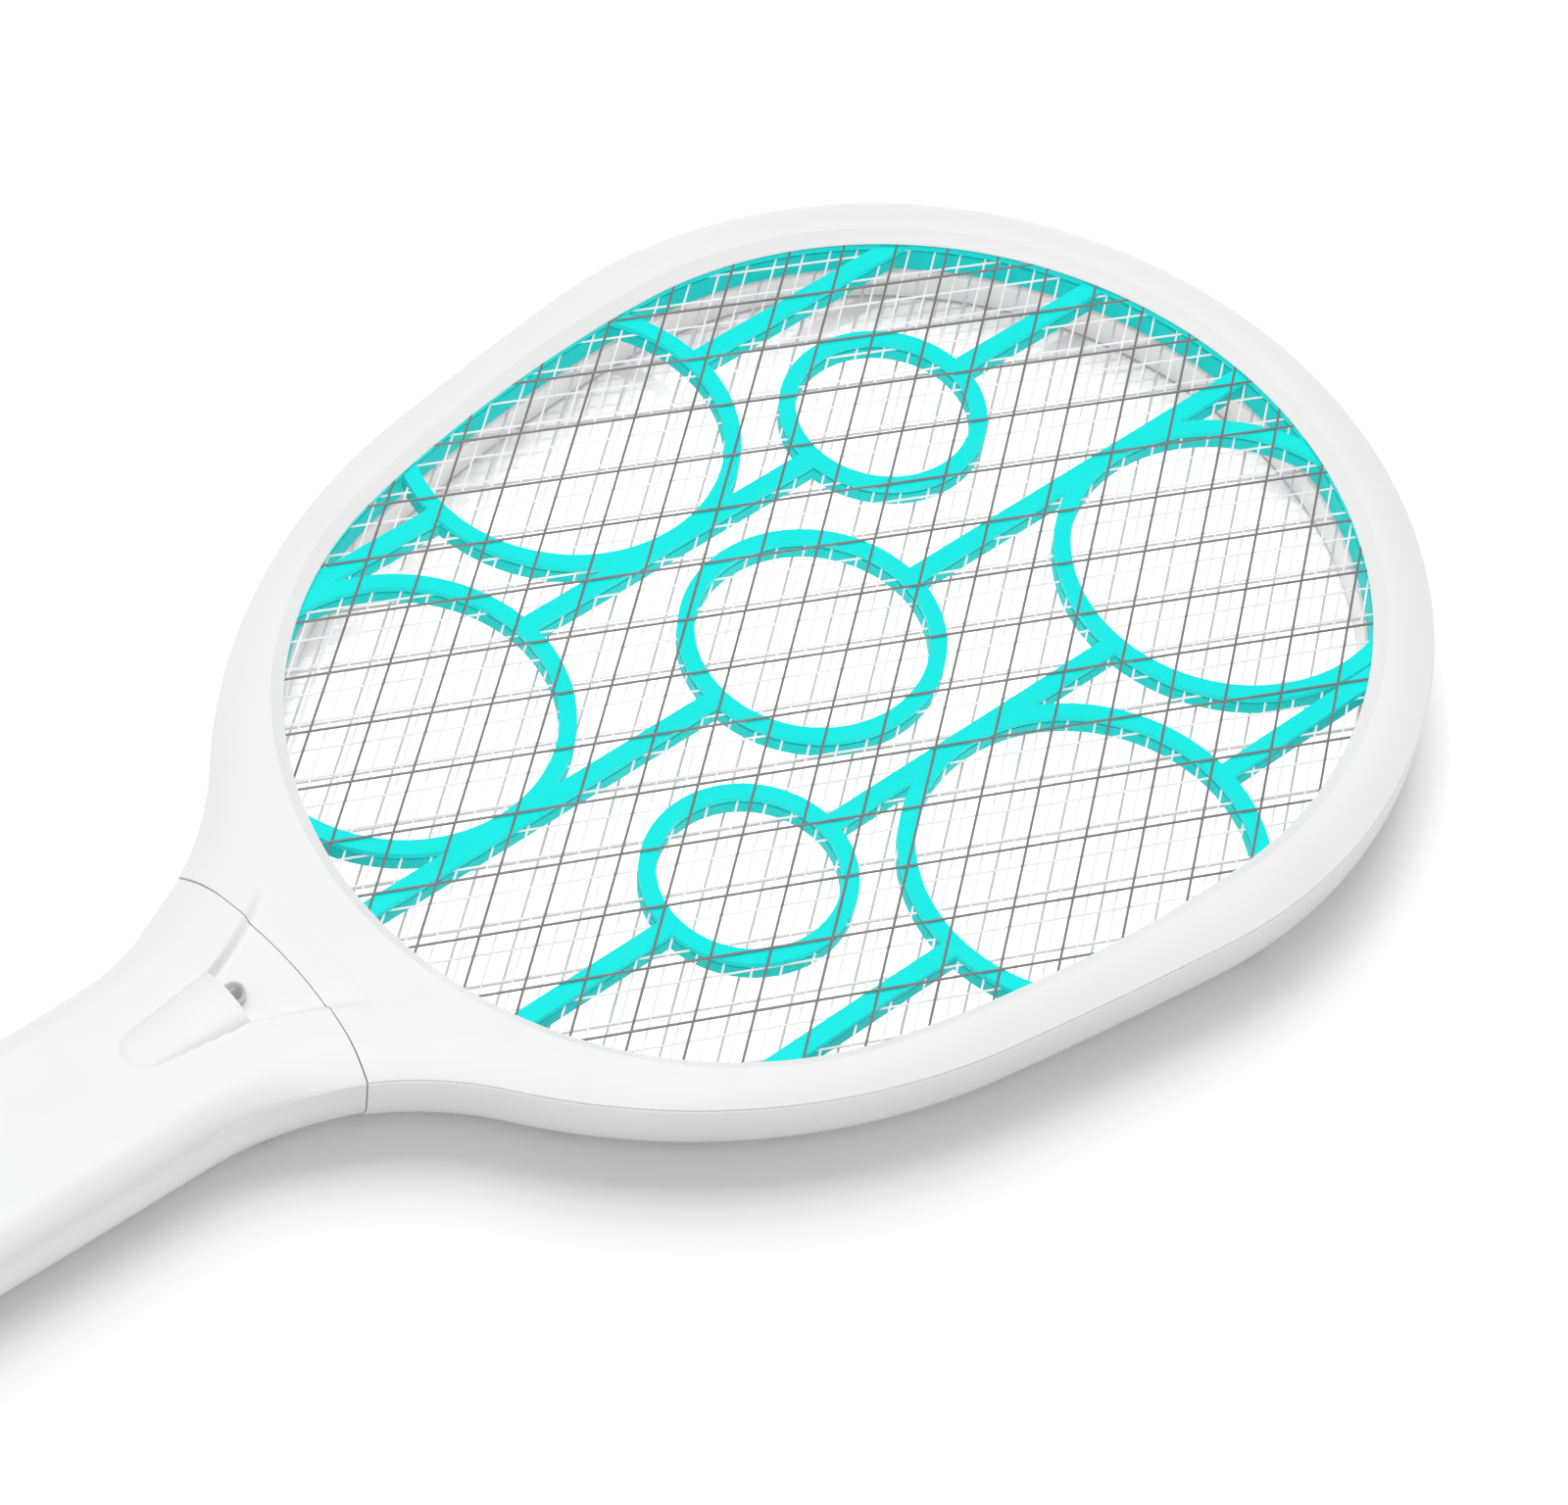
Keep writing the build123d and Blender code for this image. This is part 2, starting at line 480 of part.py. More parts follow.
# ---------------------------------------------------------------- handle
def light_recess():
    """Wedge that the torch's light leaves through, fading out towards the net."""
    slope = RECESS_DEPTH / (RECESS_END_Y - HOOD_Y)
    floor = Plane(origin=(0, HOOD_Y, TOP_Z - RECESS_DEPTH), x_dir=(1, 0, 0), z_dir=(0, -slope, 1))
    with BuildPart() as wedge:
        with BuildSketch(floor):
            with BuildLine():
                start = Line((0, 0), (-HOOD_HALF + RECESS_INSET, 0))
                flare = JernArc(start @ 1, RECESS_LEAN, RECESS_FLARE, RECESS_TURN)
                Line(flare @ 1, (0, (flare @ 1).Y))
                mirror(about=Plane.YZ)
            make_face()
        extrude(amount=4 * RECESS_DEPTH)
    return wedge.part


def hood():
    """The raised half-cone over the torch LED."""
    with BuildPart() as cone:
        for y, half, rise in ((HOOD_Y, HOOD_HALF, HOOD_HEIGHT),
                              (HOOD_TIP_Y, HOOD_TIP_HALF, HOOD_TIP_HEIGHT)):
            with BuildSketch(Plane.XZ.offset(-y)):
                with Locations((0, TOP_Z - HOOD_ROOT)):
                    Ellipse(half, rise + HOOD_ROOT)
        loft()
    return cone.part


def handle_front_shell():
    """Front half of the handle, with the hood, the torch bore and the controls' openings."""
    outer = handle_blank()
    with BuildPart() as shell:
        add(outer)
        add(handle_blank(WALL), mode=Mode.SUBTRACT)
        with BuildSketch(Plane.XY.offset(TORCH_BLOCK_Z)):
            with Locations((0, TORCH_BLOCK_Y)):
                Rectangle(*TORCH_BLOCK_SIZE)
        extrude(amount=TORCH_BLOCK_HEIGHT)
        with BuildSketch(Plane.XY.offset(POST_Z)):
            with Locations(*HANDLE_SCREWS):
                Circle(POST_RADIUS)
        extrude(amount=TOP_Z)
        add(outer, mode=Mode.INTERSECT)
        add(seam_block(), mode=Mode.INTERSECT)
        with BuildSketch(Plane.XY.offset(POST_Z)):
            with Locations(*HANDLE_SCREWS):
                Circle(SCREW_SHAFT)
        extrude(amount=POST_PILOT, mode=Mode.SUBTRACT)
        with BuildSketch():
            with Locations((0, HANDLE_END / 2)):
                Rectangle(BEYOND, BEYOND)
        extrude(amount=HANDLE_SPLIT_Z, mode=Mode.SUBTRACT)
        add(hood())
        add(light_recess(), mode=Mode.SUBTRACT)
        with BuildSketch(Plane.XZ.offset(-HOOD_Y - LED_BORE_FRONT)):
            with Locations((0, LED_Z)):
                Circle(LED_RADIUS + 0.5)
        extrude(amount=LED_BORE_LENGTH, mode=Mode.SUBTRACT)
        with BuildSketch(Plane.XZ.offset(-HOOD_Y)):
            with Locations((0, LEG_Z)):
                Circle(LEG_BORE)
        extrude(amount=TOP_Z, mode=Mode.SUBTRACT)
        with BuildSketch(Plane.XY.offset(TOP_Z / 2)):
            with Locations((0, BUTTON_Y)):
                Circle(BUTTON_RADIUS + BUTTON_GAP)
            with Locations((0, SLIDER_Y)):
                RectangleRounded(SLIDER_SIZE[0] + 2 * SLIDER_GAP,
                                 SLIDER_SIZE[1] + 2 * (SLIDER_TRAVEL + SLIDER_GAP), 1.5)
            with Locations((0, INDICATOR_Y)):
                Circle(INDICATOR_RADIUS + INDICATOR_GAP)
        extrude(amount=TOP_Z, mode=Mode.SUBTRACT)
    return shell.part


def handle_rear_shell():
    """Back of the handle: a shallow tray with screw bosses, board posts and two ribs."""
    outer = handle_blank()
    with BuildPart() as shell:
        add(outer)
        add(handle_blank(WALL), mode=Mode.SUBTRACT)
        with BuildSketch(Plane.XY.offset(HANDLE_SPLIT_Z - SPLIT_GAP)):
            with Locations((0, HANDLE_END / 2)):
                Rectangle(BEYOND, BEYOND)
        extrude(amount=2 * TOP_Z, mode=Mode.SUBTRACT)
        with BuildSketch(Plane.XY.offset(BOSS_FOOT_Z)):
            with Locations(*HANDLE_SCREWS):
                Circle(BOSS_RADIUS)
            with Locations(*[(0, y) for y in RIB_Y]):
                Rectangle(*RIB_SIZE)
        extrude(amount=BOSS_LENGTH)
        add(outer, mode=Mode.INTERSECT)
        add(seam_block(), mode=Mode.INTERSECT)
        with BuildSketch(Plane.XY.offset(BOSS_FOOT_Z)):
            with Locations(*BOARD_SCREWS):
                Circle(BOARD_POST_RADIUS)
        extrude(amount=BOARD_Z - BOSS_FOOT_Z)
        with BuildSketch():
            with Locations(*HANDLE_SCREWS):
                Circle(SCREW_HEAD + 0.3)
        extrude(amount=SINK_DEPTH, mode=Mode.SUBTRACT)
        with BuildSketch():
            with Locations(*HANDLE_SCREWS):
                Circle(SCREW_SHAFT + 0.2)
        extrude(amount=TOP_Z, mode=Mode.SUBTRACT)
        with BuildSketch(Plane.XY.offset(WALL)):
            with Locations(*BOARD_SCREWS):
                Circle(BOARD_THREAD)
        extrude(amount=BOARD_Z, mode=Mode.SUBTRACT)
        add(plug_slot(), mode=Mode.SUBTRACT)
    return shell.part


def handle_screws():
    """Self-tapping screws that hold the two handle shells together."""
    with BuildPart() as screws:
        with BuildSketch(Plane.XY.offset(SCREW_HEAD_Z)):
            with Locations(*HANDLE_SCREWS):
                Circle(SCREW_HEAD)
        extrude(amount=SINK_DEPTH - SCREW_HEAD_Z)
        with BuildSketch(Plane.XY.offset(SINK_DEPTH)):
            with Locations(*HANDLE_SCREWS):
                Circle(SCREW_SHAFT)
        extrude(amount=SCREW_LENGTH)
    return screws.part


def end_cap():
    """Cap that closes the handle, slotted for the prongs and the plug's thumb slide."""
    half, top = GRIP[-1][1:]
    with BuildPart() as cap:
        add(handle_section(CAP_Y - SEAM_GAP, half, top))
        add(handle_section(HANDLE_END + CAP_ROUND, half, top))
        loft()
        add(handle_section(HANDLE_END + CAP_ROUND, half, top))
        add(handle_section(HANDLE_END, half, top, CAP_ROUND))
        loft()
        with BuildSketch(Plane.XZ.offset(-CAP_Y)):
            with Locations((0, (top + 0.4) / 2)):
                RectangleRounded(2 * half - CAP_WALLS[0], top - CAP_WALLS[1], CAP_HOLLOW_ROUND)
        extrude(amount=CAP_Y - HANDLE_END - WALL, mode=Mode.SUBTRACT)
        with BuildSketch(Plane.XZ.offset(-HANDLE_END - WALL * 2)):
            with Locations((-PRONG_SPACING / 2, PRONG_Z), (PRONG_SPACING / 2, PRONG_Z)):
                Rectangle(PRONG_SIZE[0] + 2 * PRONG_GAP, PRONG_SIZE[1] + 2 * PRONG_GAP)
        extrude(amount=WALL * 3, both=True, mode=Mode.SUBTRACT)
        add(plug_slot(), mode=Mode.SUBTRACT)
    return cap.part


def plug_slot():
    """Slot and shallow track for the plug's thumb slide, in the back face."""
    middle = PLUG_Y - PLUG_TRAVEL / 2
    with BuildPart() as slot:
        with BuildSketch(Plane.XY.offset(-1)):
            with Locations((0, middle)):
                RectangleRounded(THUMB_SIZE + 2 * TRACK_GAP, THUMB_SIZE + PLUG_TRAVEL + 2 * TRACK_GAP,
                                 TRACK_ROUND)
        extrude(amount=1 + THUMB_DEPTH)
        with BuildSketch():
            with Locations((0, middle)):
                RectangleRounded(STEM_SIZE + 2 * SLOT_GAP, STEM_SIZE + PLUG_TRAVEL + 2 * SLOT_GAP,
                                 TRACK_ROUND)
        extrude(amount=CARRIAGE_Z)
    return slot.part


# ---------------------------------------------------------------- torch and controls
def torch_led():
    """Domed LED that lies along the handle, half under the hood."""
    back, front, flange = HOOD_Y - LED_LENGTH, HOOD_Y + LED_BARREL, LED_RADIUS + LED_FLANGE
    with BuildPart() as led:
        with BuildSketch(Plane.YZ):
            with BuildLine():
                Polyline((back, LED_Z), (back, LED_Z + flange), (back + 1, LED_Z + flange),
                         (back + 1, LED_Z + LED_RADIUS), (front, LED_Z + LED_RADIUS))
                CenterArc((front, LED_Z), LED_RADIUS, 0, 90)
                Line((front + LED_RADIUS, LED_Z), (back, LED_Z))
            make_face()
        revolve(axis=Axis((0, 0, LED_Z), (0, 1, 0)))
    return led.part


def indicator_light():
    """Light pipe over the charge indicator."""
    with BuildPart() as pipe:
        with BuildSketch(Plane.XY.offset(BOARD_TOP + 0.1)):
            with Locations((0, INDICATOR_Y)):
                Circle(INDICATOR_RADIUS)
        extrude(amount=TOP_Z - BOARD_TOP + 0.3)
        fillet(pipe.edges().sort_by(Axis.Z)[-1], 0.6)
    return pipe.part


def zap_button():
    """Round push button with a dished face, a retaining flange and a stem."""
    with BuildPart() as button:
        with BuildSketch(Plane.XY.offset(FLANGE_Z + CROWN_FOOT)):
            with Locations((0, BUTTON_Y)):
                Circle(BUTTON_RADIUS)
        extrude(amount=BUTTON_TOP_Z - FLANGE_Z - CROWN_FOOT)
        fillet(button.edges().sort_by(Axis.Z)[-1], BUTTON_ROUND)
        with Locations((0, BUTTON_Y, BUTTON_TOP_Z + DISH_RADIUS - DISH_DEPTH)):
            Sphere(DISH_RADIUS, mode=Mode.SUBTRACT)
        with BuildSketch(Plane.XY.offset(FLANGE_Z)):
            with Locations((0, BUTTON_Y)):
                Circle(BUTTON_RADIUS + FLANGE_EXTRA)
                Rectangle(*FLANGE_SIZE, mode=Mode.INTERSECT)
        extrude(amount=FLANGE_HEIGHT)
        with BuildSketch(Plane.XY.offset(STEM_Z)):
            with Locations((0, BUTTON_Y)):
                Circle(STEM_RADIUS)
        extrude(amount=FLANGE_Z - STEM_Z + JOIN)
    return button.part


def button_spring():
    """Return spring that stands on the board round the push switch."""
    height = FLANGE_Z - BOARD_TOP - SPRING_WIRE - 0.1
    with BuildPart() as spring:
        with BuildLine(Plane.XY.offset(BOARD_TOP + SPRING_WIRE / 2 + 0.05)):
            coil = Helix(height / SPRING_TURNS, height, SPRING_RADIUS, center=(0, BUTTON_Y, 0))
        with BuildSketch(Plane(origin=coil @ 0, z_dir=coil % 0)):
            Circle(SPRING_WIRE / 2)
        sweep(is_frenet=True)
    return spring.part


def button_switch():
    """Tactile switch under the button's stem."""
    with BuildPart() as switch:
        with BuildSketch(Plane.XY.offset(BOARD_TOP)):
            with Locations((0, BUTTON_Y)):
                RectangleRounded(PUSH_SWITCH_SIZE, PUSH_SWITCH_SIZE, 0.6)
        extrude(amount=PUSH_SWITCH_HEIGHT)
        with BuildSketch(Plane.XY.offset(BOARD_TOP + PUSH_SWITCH_HEIGHT)):
            with Locations((0, BUTTON_Y)):
                Circle(PLUNGER_RADIUS)
        extrude(amount=0.3)
    return switch.part


def slide_knob():
    """Thumb slide for off, torch and zap, with grip ridges and a flange below the shell."""
    width, length = SLIDER_SIZE
    with BuildPart() as knob:
        with BuildSketch(Plane.XY.offset(SLIDER_FOOT_Z)):
            with Locations((0, SLIDER_Y)):
                RectangleRounded(width, length, 1.2)
        extrude(amount=SLIDER_TOP_Z - SLIDER_FOOT_Z)
        fillet(knob.faces().sort_by(Axis.Z)[-1].edges(), 0.6)
        with BuildSketch(Plane.XY.offset(SLIDER_TOP_Z - GRIP_DEPTH)):
            with GridLocations(1, GRIP_PITCH, 1, 5):
                with Locations((0, SLIDER_Y)):
                    Rectangle(width, GRIP_WIDTH)
        extrude(amount=2 * GRIP_DEPTH, mode=Mode.SUBTRACT)
        with BuildSketch(Plane.XY.offset(SLIDER_FLANGE_Z)):
            with Locations((0, SLIDER_Y)):
                Rectangle(*SLIDER_FLANGE)
        extrude(amount=1.0)
        with BuildSketch(Plane.XY.offset(BOARD_TOP + SLIDER_PIN_Z)):
            with Locations((0, SLIDER_Y)):
                Rectangle(SLIDER_PIN, SLIDER_PIN)
        extrude(amount=SLIDER_FLANGE_Z + JOIN - BOARD_TOP - SLIDER_PIN_Z)
    return knob.part


def slide_switch():
    """Three-position switch under the thumb slide."""
    with BuildPart() as switch:
        with BuildSketch(Plane.XY.offset(BOARD_TOP)):
            with Locations((0, SLIDER_Y + SLIDE_SWITCH_OFFSET)):
                Rectangle(*SLIDE_SWITCH_SIZE)
        extrude(amount=SLIDE_SWITCH_HEIGHT)
        chamfer(switch.edges().group_by(Axis.Z)[-1], 0.3)
    return switch.part


# ---------------------------------------------------------------- electronics
def circuit_board():
    """Board on four posts of the rear shell."""
    middle = (BOARD_FRONT_Y + BOARD_BACK_Y) / 2
    with BuildPart() as board:
        with BuildSketch(Plane.XY.offset(BOARD_Z)):
            with Locations((0, middle)):
                RectangleRounded(2 * BOARD_HALF, BOARD_FRONT_Y - BOARD_BACK_Y, BOARD_ROUND)
            with Locations(*BOARD_SCREWS):
                Circle(BOARD_HOLE, mode=Mode.SUBTRACT)
        extrude(amount=BOARD_THICKNESS)
    return board.part


def board_screws():
    """Four small screws that hold the board."""
    with BuildPart() as screws:
        with BuildSketch(Plane.XY.offset(BOARD_TOP)):
            with Locations(*BOARD_SCREWS):
                Circle(BOARD_SCREW_HEAD)
        extrude(amount=BOARD_SCREW_THICKNESS)
        with BuildSketch(Plane.XY.offset(BOARD_TOP - BOARD_SCREW_LENGTH)):
            with Locations(*BOARD_SCREWS):
                Circle(BOARD_THREAD)
        extrude(amount=BOARD_SCREW_LENGTH)
    return screws.part


def transformer_core():
    """Pair of E cores, seen as one block with two windows."""
    x, y = TRANSFORMER
    with BuildPart() as core:
        with BuildSketch(Plane.XZ.offset(-y)):
            with Locations((x, BOARD_TOP + CORE_LEVEL)):
                Rectangle(*CORE_SIZE)
                with Locations((-WINDOW_X, 0), (WINDOW_X, 0)):
                    Rectangle(*WINDOW_SIZE, mode=Mode.SUBTRACT)
        extrude(amount=CORE_HALF_DEPTH, both=True)
    return core.part


def transformer_winding():
    """Wound bobbin round the core's middle leg."""
    x, y = TRANSFORMER
    with BuildPart() as winding:
        with BuildSketch(Plane.XY.offset(BOARD_TOP + BOBBIN_LEVEL)):
            with Locations((x, y)):
                RectangleRounded(*BOBBIN_SIZE, 2.0)
                Rectangle(*BOBBIN_HOLE, mode=Mode.SUBTRACT)
        extrude(amount=BOBBIN_HEIGHT)
    return winding.part


def film_capacitor():
    """The capacitor that stores each shock."""
    with BuildPart() as body:
        with BuildSketch(Plane.XY.offset(BOARD_TOP)):
            with Locations(FILM_SPOT):
                Rectangle(*FILM_SIZE)
        extrude(amount=FILM_HEIGHT)
        fillet(body.edges().filter_by(Axis.Z), 1.0)
        fillet(body.edges().group_by(Axis.Z)[-1], 0.8)
    return body.part


def multiplier_capacitors():
    """Disc capacitors of the voltage multiplier, standing on the board."""
    with BuildPart() as discs:
        for y in DISC_Y:
            with BuildSketch(Plane.XZ.offset(-y)):
                with Locations((DISC_X, BOARD_TOP + DISC_LEVEL)):
                    Circle(DISC_RADIUS)
            extrude(amount=DISC_HALF_THICKNESS, both=True)
            with BuildSketch(Plane.XY.offset(BOARD_TOP)):
                with Locations((DISC_X - DISC_LEG_X, y), (DISC_X + DISC_LEG_X, y)):
                    Circle(DISC_LEG_RADIUS)
            extrude(amount=2.0)
    return discs.part


def axial_parts(spots, body_radius, body_length):
    """Axial components that lie across the board, each with its two bent legs."""
    with BuildPart() as group:
        for x, y in spots:
            with BuildSketch(Plane.YZ.offset(x)):
                with Locations((y, BOARD_TOP + body_radius + AXIAL_LIFT)):
                    Circle(body_radius)
            extrude(amount=body_length / 2, both=True)
            for side in (-1, 1):
                leg_x = x + side * (body_length / 2 + AXIAL_LEG)
                with BuildSketch(Plane.YZ.offset(leg_x)):
                    with Locations((y, BOARD_TOP + (body_radius + AXIAL_REACH) / 2)):
                        Rectangle(AXIAL_LEG, body_radius + AXIAL_REACH)
                extrude(amount=AXIAL_LEG, both=True)
    return group.part


def transistor():
    """Oscillator transistor, flat on one side."""
    with BuildPart() as body:
        with BuildSketch(Plane.XY.offset(BOARD_TOP + LEG_LENGTH)):
            with Locations(TRANSISTOR_SPOT):
                Circle(TRANSISTOR_RADIUS)
                with Locations((0, -TRANSISTOR_RADIUS)):
                    Rectangle(5, 2.0, mode=Mode.SUBTRACT)
        extrude(amount=TRANSISTOR_HEIGHT)
        with BuildSketch(Plane.XY.offset(BOARD_TOP)):
            with Locations(*[(TRANSISTOR_SPOT[0] + x, TRANSISTOR_SPOT[1]) for x in TRANSISTOR_LEGS]):
                Rectangle(0.5, 0.5)
        extrude(amount=LEG_LENGTH)
    return body.part


def battery_cells():
    """Two rechargeable cells with their raised ends."""
    with BuildPart() as cells:
        with BuildSketch(Plane.XZ.offset(-CELL_FRONT_Y + CELL_END)):
            with Locations((-CELL_X, CELL_Z), (CELL_X, CELL_Z)):
                Circle(CELL_RADIUS)
        extrude(amount=CELL_LENGTH - CELL_END)
        fillet(cells.edges().filter_by(GeomType.CIRCLE), CELL_ROUND)
        with BuildSketch(Plane.XZ.offset(-CELL_FRONT_Y)):
            with Locations((-CELL_X, CELL_Z), (CELL_X, CELL_Z)):
                Circle(CELL_NIB_RADIUS)
        extrude(amount=CELL_END + JOIN)
    return cells.part


def battery_contacts():
    """Plates at the two ends of the cells, standing against the rear shell's ribs."""
    with BuildPart() as plates:
        for y in PLATE_Y:
            with BuildSketch(Plane.XZ.offset(-y)):
                with Locations((0, PLATE_Z)):
                    RectangleRounded(*PLATE_SIZE, 1.0)
            extrude(amount=PLATE_THICKNESS)
    return plates.part


def plug_carriage():
    """Block that carries the prongs, with the thumb slide in the back face."""
    with BuildPart() as carriage:
        with BuildSketch(Plane.XY.offset(CARRIAGE_Z)):
            with Locations((0, PLUG_Y)):
                Rectangle(CARRIAGE_WIDTH, CARRIAGE_LENGTH)
        extrude(amount=CARRIAGE_HEIGHT)
        chamfer(carriage.edges().filter_by(Axis.Z), 0.6)
        with BuildSketch(Plane.XY.offset(STEM_FOOT_Z)):
            with Locations((0, PLUG_Y)):
                Rectangle(STEM_SIZE, STEM_SIZE)
        extrude(amount=CARRIAGE_Z - STEM_FOOT_Z + JOIN)
        with BuildSketch(Plane.XY.offset(THUMB_Z)):
            with Locations((0, PLUG_Y)):
                RectangleRounded(THUMB_SIZE, THUMB_SIZE, 1.0)
        extrude(amount=THUMB_DEPTH - 0.3)
        with BuildSketch(Plane.XZ.offset(-PLUG_Y)):
            with Locations((-PRONG_SPACING / 2, PRONG_Z), (PRONG_SPACING / 2, PRONG_Z)):
                Rectangle(*PRONG_SIZE)
        extrude(amount=CARRIAGE_LENGTH, mode=Mode.SUBTRACT)
    return carriage.part


def plug_prongs():
    """Two flat prongs, set in the carriage."""
    with BuildPart() as prongs:
        with BuildSketch(Plane.XZ.offset(-PLUG_Y)):
            with Locations((-PRONG_SPACING / 2, PRONG_Z), (PRONG_SPACING / 2, PRONG_Z)):
                Rectangle(*PRONG_SIZE)
        extrude(amount=CARRIAGE_LENGTH / 2 + PRONG_LENGTH)
        chamfer(prongs.faces().group_by(Axis.Y)[0].edges(), 0.4)
    return prongs.part


def charge_contacts():
    """Spring blades, footed on the handle's sides, that the carriage wipes past."""
    with BuildPart() as blades:
        with BuildSketch(Plane.XY.offset(BLADE_Z)):
            for side in (-1, 1):
                with Locations((side * BLADE_X, PLUG_Y - 4)):
                    Rectangle(BLADE_THICKNESS, BLADE_LENGTH)
                with Locations((side * BLADE_FOOT_X, PLUG_Y + 1.8)):
                    Rectangle(BLADE_FOOT, BLADE_THICKNESS)
        extrude(amount=BLADE_HEIGHT)
    return blades.part


def net_contacts():
    """Tabs that meet the edges of the three meshes, in the notch of the rear shell's ring."""
    with BuildPart() as tabs:
        for x, low in TABS:
            with BuildSketch(Plane.XY.offset(low + WIRE_GAP)):
                with Locations((x, NET_FOOT_Y - TAB_OFFSET)):
                    Rectangle(*TAB_SIZE)
            extrude(amount=TAB_THICKNESS)
    return tabs.part


def lead(points, radii, radius=LEAD_RADIUS):
    """One insulated lead: straight runs joined by tangent arcs."""
    with BuildPart() as wire:
        with BuildLine() as path:
            FilletPolyline(*points, radius=radii)
        with BuildSketch(Plane(origin=path.line @ 0, z_dir=path.line % 0)):
            Circle(radius)
        sweep(transition=Transition.ROUND)
    return wire.part


def build():
    """Make and write every piece."""
    save(head_front_shell(), "head_front_shell")
    save(head_rear_shell(), "head_rear_shell")
    save(head_screws(), "head_screws", STEEL)
    save(front_grille(), "front_grille", TEAL)
    save(rear_grille(), "rear_grille", TEAL)
    save(coarse_mesh(COARSE_WIRES, FRONT_MESH_Z), "front_mesh", STEEL)
    save(middle_mesh(), "middle_mesh", STEEL)
    save(coarse_mesh(REAR_WIRES, SEAT_Z), "rear_mesh", STEEL)
    save(net_contacts(), "net_contacts", BRASS)
    save(handle_front_shell(), "handle_front_shell")
    save(handle_rear_shell(), "handle_rear_shell")
    save(handle_screws(), "handle_screws", STEEL)
    save(end_cap(), "end_cap")
    save(torch_led(), "torch_led", CLEAR)
    save(indicator_light(), "indicator_light", RED)
    save(zap_button(), "zap_button", TEAL)
    save(button_spring(), "button_spring", STEEL)
    save(button_switch(), "button_switch", BLACK)
    save(slide_knob(), "slide_knob", TEAL)
    save(slide_switch(), "slide_switch", STEEL)
    save(circuit_board(), "circuit_board", GREEN)
    save(board_screws(), "board_screws", STEEL)
    save(transformer_core(), "transformer_core", BLACK)
    save(transformer_winding(), "transformer_winding", YELLOW)
    save(film_capacitor(), "film_capacitor", RED)
    save(multiplier_capacitors(), "multiplier_capacitors", BLUE)
    save(axial_parts(DIODES, *DIODE_SIZE), "rectifier_diodes", BLACK)
    save(axial_parts(RESISTORS, *RESISTOR_SIZE), "resistors", YELLOW)
    save(transistor(), "transistor", BLACK)
    save(battery_cells(), "battery_cells", BLUE)
    save(battery_contacts(), "battery_contacts", STEEL)
    save(plug_carriage(), "plug_carriage")
    save(plug_prongs(), "plug_prongs", BRASS)
    save(charge_contacts(), "charge_contacts", BRASS)
    save(lead(LIVE_LEAD, LEAD_RADII), "live_lead", RED)
    save(lead(FRONT_LEAD, LEAD_RADII), "front_mesh_lead", BLACK)
    save(lead(REAR_LEAD, LEAD_RADII), "rear_mesh_lead", BLACK)
    save(lead(TORCH_LEAD, TORCH_RADII, TORCH_LEAD_RADIUS), "torch_lead", RED)
    save(lead(CELL_LEAD, CELL_RADII), "cell_lead", BLACK)


build()
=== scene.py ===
"""Looks of the electric fly swatter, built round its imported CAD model."""
import json
from math import atan2, cos, pi, radians, sin, sqrt

import bpy
import numpy as np
from mathutils import Matrix, Vector

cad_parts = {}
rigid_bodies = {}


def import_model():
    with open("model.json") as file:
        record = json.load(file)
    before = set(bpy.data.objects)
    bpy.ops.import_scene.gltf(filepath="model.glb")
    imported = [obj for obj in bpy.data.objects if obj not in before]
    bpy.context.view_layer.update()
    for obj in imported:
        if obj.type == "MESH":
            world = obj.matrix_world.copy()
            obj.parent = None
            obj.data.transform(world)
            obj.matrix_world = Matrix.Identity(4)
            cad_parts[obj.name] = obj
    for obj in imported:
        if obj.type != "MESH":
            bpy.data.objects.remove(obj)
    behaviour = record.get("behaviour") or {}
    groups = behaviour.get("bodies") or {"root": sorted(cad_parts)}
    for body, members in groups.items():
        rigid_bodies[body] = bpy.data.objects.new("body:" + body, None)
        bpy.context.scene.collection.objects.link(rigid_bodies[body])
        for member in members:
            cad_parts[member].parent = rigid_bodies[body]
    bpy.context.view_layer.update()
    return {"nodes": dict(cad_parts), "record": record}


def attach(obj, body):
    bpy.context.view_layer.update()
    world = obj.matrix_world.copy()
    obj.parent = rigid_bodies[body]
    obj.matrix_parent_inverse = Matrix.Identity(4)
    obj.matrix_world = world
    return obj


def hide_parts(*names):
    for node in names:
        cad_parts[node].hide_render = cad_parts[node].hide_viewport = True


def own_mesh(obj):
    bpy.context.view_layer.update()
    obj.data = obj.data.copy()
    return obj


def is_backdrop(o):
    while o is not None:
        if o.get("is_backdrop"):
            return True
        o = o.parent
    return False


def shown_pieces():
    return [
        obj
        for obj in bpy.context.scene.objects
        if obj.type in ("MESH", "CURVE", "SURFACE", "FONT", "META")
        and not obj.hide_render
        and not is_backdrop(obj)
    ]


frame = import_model()
NODES = frame["nodes"]
MM = 0.001
WORLD_LIGHT, OVERHEAD_LIGHT, SWATTER_FILL = 0.55, 11.4, 6.0
FLOOR_KEY, FLOOR_SPOT, FLOOR_GLOW = 25.0, 9.0, 0.02
SPOTS = [((0.0, 137.0), 99.0), ((0.0, 76.0), 84.0)]      # place and reach of the lamps over the net, in mm
SPOT_HEIGHT = 1.0                                        # metres
FLOOR_REACH, FLOOR_DROP = 6.0, 0.0005                    # metres
CAMERA_LENS, CAMERA_SENSOR = 112.5, 36.0
CAMERA_PLACE = (0.4066, -0.3478, 0.7674)
CAMERA_RIGHT, CAMERA_FORWARD = (0.6477, 0.7555, 0.0988), (-0.4103, 0.4550, -0.7904)

